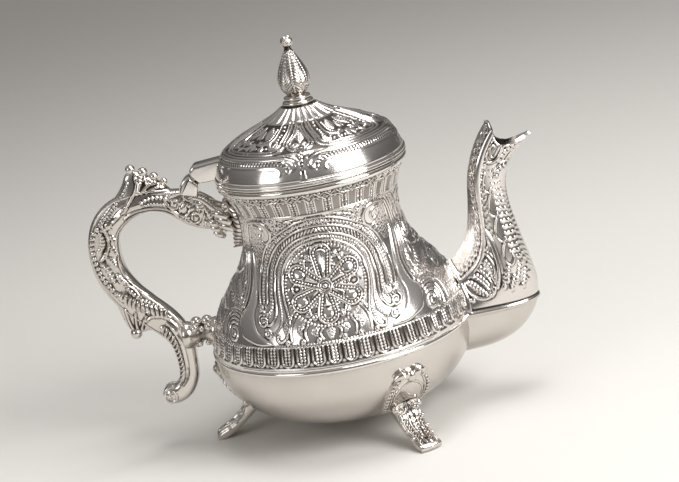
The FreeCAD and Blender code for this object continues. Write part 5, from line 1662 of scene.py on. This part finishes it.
    def _lobe(self, base: Pairs, edge: Pairs, thick: tuple[float, float]) -> bmesh.types.BMesh:
        """Makes a chased leaf that grows out of the scroll.

        Args:
            base: x and z of points inside the scroll, from which it grows.
            edge: as many points of its outer edge.
            thick: half its thickness at the base and near the edge.

        Returns:
            The closed mesh.
        """
        rows, half = 120, 64
        shares = np.linspace(0, 1, rows + 1)
        places = np.linspace(0, 1, len(base))
        start = cubic(places, np.array(base, float), shares)[:, None]
        end = cubic(places, np.array(edge, float), shares)[:, None]
        over = np.r_[np.linspace(0, 1, half), np.linspace(1, 0, half)]
        way = np.r_[np.full(half, -1.0), np.full(half, 1.0)]
        flat = start + (end - start) * over[None, :, None]
        tip = np.sqrt(np.clip(1 - np.abs(2 * shares - 1) ** 12, 0, 1))[:, None]
        body = (thick[0] + (thick[1] - thick[0]) * over) * np.sqrt(np.clip(1 - over**10, 0, 1)) * tip
        height = self._chasing(flat[:, :, 0], body, flat[:, :, 1]) * tip * ease(1.0, 0.9, over)
        grid = np.stack([flat[:, :, 0], way * (body + height), flat[:, :, 1]], axis=2)
        grid = np.concatenate([grid, grid[:, :1]], axis=1)
        # the creases of the leaf take tarnish and painted shade
        deep = creases(height, (0.25, 0.25), reach=1.0)
        return woven(grid, np.concatenate([deep, deep[:, :1]], axis=1))

    def _crest(self) -> None:
        """Makes the leaf crest with its balls, the spur and the curled tail."""
        meshes = [self._lobe(self.crest_root, self.crest_edge, (3.9, 1.7))]
        for x, z, size in self.crest_balls:
            meshes.append(globe((x, 0, z), size))
        piece("handle_crest", joined(meshes), CAST, [])
        spur = self._lobe(self.spur_root, self.spur_edge, (3.7, 1.8))
        x, z, size = self.spur_ball
        piece("handle_spur", joined([spur, globe((x, 0, z), size)]), CAST, [])
        x, z, size = self.tail
        curl = [globe((x, 0, z), size, 40)]
        turn = np.linspace(1.2, 1.2 + 1.6 * TURN, 15)
        far = np.linspace(3.7, 0.5, 15)
        for side in (-1, 1):
            lift = side * np.sqrt(size**2 - far**2)
            path = np.c_[x + far * np.cos(turn), lift, z + far * np.sin(turn), np.linspace(0.85, 0.6, 15)]
            curl.append(swept(path, 10, 0.35))
        piece("handle_curl", joined(curl), CAST, [])

    def _plate(self) -> None:
        """Makes the ribbed leaf plate on the neck and the curled leaves that grip the handle's root."""
        wall = smooth_curve(Vessel.wall, 0.5)
        meshes = []

        def ribs(y: Points, z: Points) -> Points:
            """Gives the slanting ribs: 1 on top of them, 0 between them."""
            return 0.5 + 0.5 * np.cos(TURN * (z + 0.45 * np.abs(y)) / 2.2)

        def both(knots: Pairs) -> None:
            """Sweeps a curled leaf on either side of the root."""
            for side in (-1, 1):
                meshes.append(swept([(x, side * y, z, radius) for x, y, z, radius in knots]))

        def leaf(along: Points, over: Points) -> Points:
            """Bends the grid to a leaf on the neck: its ribbed face, then its back."""
            z = 99.4 - 18.2 * along
            front = over < 0.5
            share = np.where(front, 4 * over - 1, 3 - 4 * over)
            width = 7.4 * np.sin(np.pi * np.clip(0.16 + 0.84 * along, 0, 1) ** 0.85) ** 0.7
            y = share * width
            ribbed = 2.3 + 1.5 * np.sqrt(ribs(y, z)) * ease(0.05, 0.2, np.abs(share))
            face = 0.6 + rounded(share, 1.0) * ribbed
            radius = np.interp(z, wall[:, 1], wall[:, 0]) + np.where(front, face, -0.4)
            return np.c_[-np.sqrt(radius**2 - y**2), y, z]

        meshes.append(sheet(leaf, 110, 120))
        _, y, z = coordinates(meshes[0]).T
        # the grooves between the ribs and along the middle take tarnish and painted shade
        mark(meshes[0], np.maximum(ease(0.3, 0.0, ribs(y, z)), ease(0.5, 0.2, np.abs(y))))
        both(self.grip)
        for x, z in ((-39.6, 97.2), (-38.4, 94.6), (-37.8, 91.8)):
            both(((x - 3.4, 4.0, z + 0.8, 1.2), (x - 0.6, 5.4, z + 0.4, 1.8), (x + 2.2, 5.8, z - 1.8, 1.1)))
        for x, z in ((-43.6, 93.4), (-43.0, 91.0), (-42.2, 88.6)):
            both(((x - 1.6, 3.6, z + 1.4, 1.1), (x + 0.4, 4.3, z + 0.4, 1.5), (x + 2.4, 3.8, z - 1.2, 0.9)))
        meshes += [globe((-37.3, side * 3.3, 100.4), 1.9, 20) for side in (-1, 1)]
        meshes.append(swept(self.grip_middle))
        piece("handle_leaf_plate", joined(meshes), CAST, ["handle_upper_plate"])

    def _bracket(self) -> None:
        """Makes the turned bracket on the flank with its beads."""
        level = self.bracket_level
        curve = smooth_curve(self.bracket, 0.5)
        profile = np.vstack([[(0, curve[0, 0])], curve[:, ::-1], [(0, curve[-1, 0])]])
        body = spun(profile, 48)
        lay = Matrix.Translation((0, 0, level)) @ Matrix.Rotation(-TURN / 4, 4, "Y")
        bmesh.ops.transform(body, matrix=lay, verts=body.verts)
        # the bracket takes a little tarnish and painted shade, more in its narrow waist
        mark(body, 0.3 + 0.4 * ease(3.4, 0.6, np.abs(coordinates(body)[:, 0] + 57.9)))
        meshes = [body]
        for x, z, size in self.bracket_balls:
            meshes.append(globe((x, 0, z), size))
        for x, y, z, size in self.bracket_beads:
            for side in (-1, 1):
                meshes.append(globe((x, side * y, z), size, 20))
        for turn in np.linspace(0, TURN, 11)[:-1]:
            meshes.append(globe((-53.6, 5.2 * math.cos(turn), level + 5.2 * math.sin(turn)), 0.8, 12))
        piece("handle_bracket", joined(meshes), CAST, ["handle_lower_bracket"])


# The feet
@dataclass
class Feet:
    """Three cast feet, each a splayed scroll leg under a beaded shield."""

    turns: Rows = (("foot_rear", 180.0), ("foot_front_right", -60.0), ("foot_front_left", 60.0))
    bowl: Pairs = Vessel.bowl
    shield: Pairs = ((4.25, 0), (5.85, 6), (8.4, 12), (10, 19.2), (9.4, 25.6), (5.5, 30.7), (0, 32))
    leg_balls: Pairs = (
        (45.6, 15.0, 5.2, 1.7), (48.2, 10.4, 4.8, 1.1), (51.4, 7.0, 4.6, 0.95), (54.8, 4.7, 4.4, 0.9),
    )
    toe: Pairs = (
        (59.2, -4.4, 1.6, 1.5), (59.6, -2.0, 1.6, 1.6), (59.6, 2.0, 1.6, 1.6), (59.2, 4.4, 1.6, 1.5),
    )
    skin: float = 1.4

    def build(self) -> None:
        """Makes one foot and sets it under the bowl three times."""
        for name, turn in self.turns:
            mesh = joined([self._plate(), self._leg()] + self._scallops())
            swing = Matrix.Rotation(math.radians(turn), 3, "Z")
            bmesh.ops.rotate(mesh, verts=mesh.verts, cent=(0, 0, 0), matrix=swing)
            piece(name + "_cast", mesh, CAST, [name])

    def _wall(self, z: Points) -> Points:
        """Gives the bowl's radius at a height."""
        curve = smooth_curve(self.bowl, 0.3)[::-1]
        return np.interp(z, curve[:, 1], curve[:, 0])

    def _half(self, z: Points) -> Points:
        """Gives the shield's half width at a height."""
        edge = smooth_curve(self.shield[:-1], 0.3)
        shoulder, top = 21.0, self.shield[-1][1]
        head = 10.0 * rounded(np.clip(z - shoulder, 0, None), top - shoulder)
        return np.where(z > shoulder, head, np.interp(z, edge[:, 1], edge[:, 0]))

    def _plate(self) -> bmesh.types.BMesh:
        """Makes the shield that lies on the bowl, with its beaded edge."""
        low, high = 8.5, 31.9

        def shape(along: Points, over: Points) -> Points:
            """Bends a closed strip over the bowl: out over the front, back behind it."""
            front = over <= 0.5
            share = np.where(front, over * 4 - 1, 3 - over * 4)
            z = low + (high - low) * along
            half = self._half(z)
            y = share * half
            wall = self._wall(z)
            edge = half * (1 - np.abs(share))
            work = Relief(y, z)
            level = np.linspace(low, high - 0.9, 60)
            outline = np.c_[self._half(level) - 1.0, level]
            for line in (outline, mirrored(outline)):
                work.beads(line, 0.9, 0.95, 1.8)
                work.line(line * (0.84, 1.0), 0.45, 0.4)
            for kind in (-1, 1):
                work.line(spiral((kind * 2.2, 15.4), 1.7, -kind * 1.5, 90), 0.4, 0.32)
                work.line(((0, 27.6), (kind * 2.6, 26.6), (kind * 5.6, 23.6), (kind * 6.4, 19)), 0.4, 0.32)
                work.line(((0, 19.5), (kind * 1.6, 18.6), (kind * 4.4, 17.4), (kind * 4.6, 13)), 0.4, 0.32)
            thick = np.where(front, self.skin - 0.35 + work.height, -0.4)
            thick = np.where(edge < 0.02, 0.3, thick)
            radius = np.sqrt(np.clip((wall + thick) ** 2 - y * y, 0, None))
            return np.c_[radius, y, z]

        mesh = sheet(shape, 100, 180)
        # the hollows of the shield take tarnish and painted shade
        mark(mesh, self._tarnish_and_shade(mesh))
        return mesh

    def _leg(self) -> bmesh.types.BMesh:
        """Makes the splayed scroll leg with ribs and a bead row down its face."""
        outer = smooth_curve(((46.5, 17.5), (49.0, 10.6), (54.0, 6.0), (58.6, 3.8), (61.0, 2.0)), 0.3)
        inner = smooth_curve(((40.0, 11.5), (44.6, 8.2), (50.5, 3.6), (54.6, 1.0), (57.0, 0.0)), 0.3)
        width = smooth_curve(((0, 5.6), (0.3, 5.3), (0.6, 5.0), (0.85, 4.8), (1.0, 4.2)), 0.02)

        def shape(along: Points, over: Points) -> Points:
            """Bends the grid round the leg's section."""
            turn = TURN * over
            half = np.interp(along, width[:, 0], width[:, 1])
            up = np.sign(np.cos(turn)) * np.abs(np.cos(turn)) ** 0.5
            y = half * np.sign(np.sin(turn)) * np.abs(np.sin(turn)) ** 0.6
            at = np.linspace(0, 1, len(outer))
            top = np.c_[np.interp(along, at, outer[:, 0]), np.interp(along, at, outer[:, 1])]
            at = np.linspace(0, 1, len(inner))
            low = np.c_[np.interp(along, at, inner[:, 0]), np.interp(along, at, inner[:, 1])]
            work = Relief(along * 24, y)
            for kind in (-1, 1):
                work.line(np.array([(5.0, 4.5 * kind), (14, 4.1 * kind), (23.5, 3.5 * kind)]), 0.45, 0.6)
                work.rope(np.array([(7.5, 3.2 * kind), (15, 2.9 * kind), (22.5, 2.4 * kind)]), 0.8, 0.75, 1.7)
                work.line(spiral((3.0, 3.4 * kind), 2.0, kind * 1.6, 90), 0.45, 0.7)
                stem = ((0.5, 0.9), (5, 1.3), (9, 1.7), (15, 1.5), (23, 0.9))
                work.line([(far, kind * wide) for far, wide in stem], 0.45, 0.7)
            work.leaf(((1.0, 0.0), (11.0, 0.0), (22.5, 0.0)), 1.0, 0.7, 1.7)
            share = (up + 1) / 2
            lift = work.height * (up > 0.3) - 0.3 * (up > 0.3)
            mid = low + share[:, None] * (top - low)
            away = top - low
            away /= np.linalg.norm(away, axis=1)[:, None]
            mid = mid + lift[:, None] * away
            return np.c_[mid[:, 0], y, np.maximum(mid[:, 1], 0.0)]

        mesh = sheet(shape, 100, 150)
        # the hollows of the leg take tarnish and painted shade
        mark(mesh, self._tarnish_and_shade(mesh))
        return mesh

    def _tarnish_and_shade(self, mesh: bmesh.types.BMesh) -> Points:
        """Tells where tarnish and painted shade go: below the mean of its neighbours' heights along their
        normals.
        """
        mesh.normal_update()
        found = [sum((e.other_vert(v).co - v.co).dot(v.normal) for e in v.link_edges) for v in mesh.verts]
        return np.clip(np.array(found) / 0.12, 0, 1)

    def _scallops(self) -> list[bmesh.types.BMesh]:
        """Makes the leaf lobes over the shield's top, the scroll ends of the leg and the toe roll."""
        lobes = []

        def over(y: float, z: float, lift: float) -> tuple[float, float, float]:
            """Gives a point above the bowl."""
            return math.sqrt((float(self._wall(np.array([z]))[0]) + lift) ** 2 - y * y), y, z

        for start, bend, end in (
            ((-0.4, 29.4), (-3.4, 31.6), (-7.0, 30.2)), ((0.4, 29.4), (3.4, 31.6), (7.0, 30.2)),
            ((0, 27.6), (0, 30.4), (0, 32.2)),
        ):
            knots = (*over(*start, 1.0), 0.9), (*over(*bend, 1.3), 1.9), (*over(*end, 0.9), 1.0)
            lobes.append(swept(knots))
        for x, z, y, size in self.leg_balls:
            lobes += [globe((x, side * y, z), size, 18) for side in (-1, 1)]
        lobes.append(swept(self.toe))
        return lobes


# The hinge
@dataclass
class Hinge:
    """The polished arm of the lid and the lug it turns on, drawn about the pin."""

    wide: float = 4.5
    soft: float = 1.3
    knuckle: float = 3.1
    gap: float = 3.4
    slot: float = 1.8
    tongue: float = 1.5
    pin: float = 1.2
    root: float = 12.0
    x: float = 0.0
    z: float = 0.0

    def build(self) -> None:
        """Makes the arm and the lug."""
        low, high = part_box("hinge_pin")
        self.x = (low[0] + high[0]) / 2 / MM - AXIS_X
        self.z = (low[2] + high[2]) / 2 / MM
        self._arm()
        self._lug()

    def _about(self, *spots: tuple[float, float]) -> Pairs:
        """Moves points given from the pin's middle to the pot's own measures."""
        return [(self.x + x, self.z + z) for x, z in spots]

    def _arc(self, radius: float, start: float, stop: float) -> Pairs:
        """Gives points of an arc round the pin, in degrees from outwards to up."""
        turns = np.radians(np.linspace(start, stop, 14))
        return [(radius * math.cos(t), radius * math.sin(t)) for t in turns]

    def _rod(self, radius: float, half: float) -> bmesh.types.BMesh:
        """Makes a rod along the pin."""
        mesh = bmesh.new()
        where = Matrix.Translation((self.x, 0, self.z)) @ Matrix.Rotation(TURN / 4, 4, "X")
        bmesh.ops.create_cone(
            mesh, cap_ends=True, segments=40, radius1=radius, radius2=radius, depth=2 * half, matrix=where)
        return mesh

    def _arm(self) -> None:
        """Makes the lid's forked arm."""
        knuckle = self._arc(self.knuckle, 90, 217)
        outline = self._about(*knuckle, (0.3, -4.8), (self.root - 1.6, -4.8), (self.root, 4.1))
        obj = piece("lid_arm_bar", slab(outline, self.wide, self.soft), BRIGHT, ["lid_arm"], "lid")
        mouth = self._about(*self._arc(self.gap, 90, -90), (0.6, -5.8), (-6.8, -5.8), (-6.8, self.gap))
        carve(obj, slab(mouth, self.slot, 0))
        carve(obj, self._rod(self.pin, 2 * self.wide))

    def _lug(self) -> None:
        """Makes the lug with its tongue on the handle's arm."""
        back = smooth_curve(((-9.0, -8.1), (-6.6, -2.4), (-3.3, -0.95)), 0.6)
        outline = self._about(*back, (-2.9, -2.2), (-0.4, -5.1), (-1.5, -10.3))
        web = slab(self._about((-4.0, -1.2), (-2.0, -4.2), (-0.6, -2.6), (-1.5, -0.9)), self.tongue, 0)
        block = joined([slab(outline, self.wide, self.soft), web])
        piece("hinge_lug_block", block, BRIGHT, ["hinge_lug"])
        eye = piece("hinge_tongue", self._rod(self.knuckle - 0.3, self.tongue), BRIGHT, [])
        carve(eye, self._rod(self.pin + 0.05, 2 * self.wide))


# what shows of the construction itself: the wall seen inside, and the fixings
NODE_FINISHES = {
    "upper_body": INSIDE, "handle_screws": STEEL, "knob_washer": STEEL, "knob_screw": STEEL,
}


# The studio
@dataclass
class Studio:
    """Pale floor, soft lamps, dim surroundings and the camera at the photo's angle."""

    target: tuple[float, float, float] = (5.74, 0.0, 76.25)
    azimuth: float = 4.7255
    elevation: float = 15.0391
    roll: float = -11.007
    distance: float = 704.508
    lens: float = 90.52
    floor_colour: str = "#E4E1DC"
    floor_half: float = 6000.0
    sky_colour: str = "#F4F2EF"
    lamp_aim: tuple[float, float, float] = (0, 0, 70)
    lamps: Rows = (
        ("key", (620, -420, 520), 480, 6.5),
        ("fill", (-750, -650, 500), 420, 1.6),
        ("overhead", (200, 60, 1100), 560, 5.5),
    )

    def build(self) -> None:
        """Sets everything up."""
        self._camera()
        self._floor()
        self._lamps()
        self._surroundings()

    def _camera(self) -> None:
        """Aims the camera at the pot, tilted as the photo is."""
        az, el, roll = (math.radians(v) for v in (self.azimuth, self.elevation, self.roll))
        back = Vector((math.sin(az) * math.cos(el), -math.cos(az) * math.cos(el), math.sin(el)))
        right = (-back).cross(Vector((0, 0, 1))).normalized()
        up = right.cross(-back)
        x = right * math.cos(roll) + up * math.sin(roll)
        y = up * math.cos(roll) - right * math.sin(roll)
        spot = (Vector(self.target) + Vector((AXIS_X, 0, 0)) + back * self.distance) * MM
        data = bpy.data.cameras.new("photo_camera")
        data.lens = self.lens
        data.sensor_width = 36.0
        data.clip_start = 0.01
        obj = bpy.data.objects.new("photo_camera", data)
        obj.matrix_world = Matrix.Translation(spot) @ Matrix((x, y, back)).transposed().to_4x4()
        bpy.context.scene.collection.objects.link(obj)
        bpy.context.scene.camera = obj

    def _floor(self) -> None:
        """Lays a wide pale floor."""
        mesh = bmesh.new()
        bmesh.ops.create_grid(mesh, x_segments=1, y_segments=1, size=self.floor_half * MM)
        data = bpy.data.meshes.new("floor")
        mesh.to_mesh(data)
        mesh.free()
        # matt pale paper: an even, shadow-catching ground
        paper = bpy.data.materials.new("pale_paper")
        paper.use_nodes = True
        shader = paper.node_tree.nodes["Principled BSDF"]
        shader.inputs["Base Color"].default_value = linear(self.floor_colour)
        shader.inputs["Roughness"].default_value = 0.9
        shader.inputs["Specular IOR Level"].default_value = 0.1
        data.materials.append(paper)
        obj = bpy.data.objects.new("floor", data)
        bpy.context.scene.collection.objects.link(obj)

    def _lamps(self) -> None:
        """Hangs the soft lamps: a key from the right above, a fill from the front left and one overhead."""
        for name, spot, size, power in self.lamps:
            data = bpy.data.lights.new(name, "AREA")
            data.shape = "SQUARE"
            data.size = size * MM
            data.energy = power
            obj = bpy.data.objects.new(name, data)
            base = Vector(spot) * MM
            aim = Vector(self.lamp_aim) * MM - base
            obj.matrix_world = Matrix.Translation(base) @ aim.to_track_quat("-Z", "Y").to_matrix().to_4x4()
            bpy.context.scene.collection.objects.link(obj)

    def _surroundings(self) -> None:
        """Gives the world a soft gradient, dim at eye level and bright overhead, for the metal to mirror."""
        world = bpy.data.worlds.new("studio_room")
        bpy.context.scene.world = world
        world.use_nodes = True
        tree = world.node_tree
        sky = tree.nodes["Background"]
        way = node(tree, "ShaderNodeTexCoord", {}).outputs["Generated"]
        height = node(tree, "ShaderNodeSeparateXYZ", {"Vector": way}).outputs["Z"]
        level = node(tree, "ShaderNodeMapRange", {
            "Value": height, "From Min": 0.0, "From Max": 0.9, "To Min": 0.12, "To Max": 0.38},
            interpolation_type="SMOOTHSTEP").outputs["Result"]
        tree.links.new(level, sky.inputs["Strength"])
        sky.inputs["Color"].default_value = linear(self.sky_colour)


def main() -> None:
    """Builds the teapot, sub-assembly by sub-assembly, then the studio."""
    logging.basicConfig(level=logging.INFO, format="%(name)s %(message)s")
    bpy.context.scene.view_settings.view_transform = "Standard"
    for built in (Vessel(), Lid(), Hinge(), Spout(), Handle(), Feet(), Studio()):
        built.build()
        LOG.info("built %s", type(built).__name__)
    for name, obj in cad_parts.items():
        finish = NODE_FINISHES.get(name, BRIGHT)
        obj.data.materials.clear()
        obj.data.materials.append(finish.material())


if __name__ == "__main__":
    main()
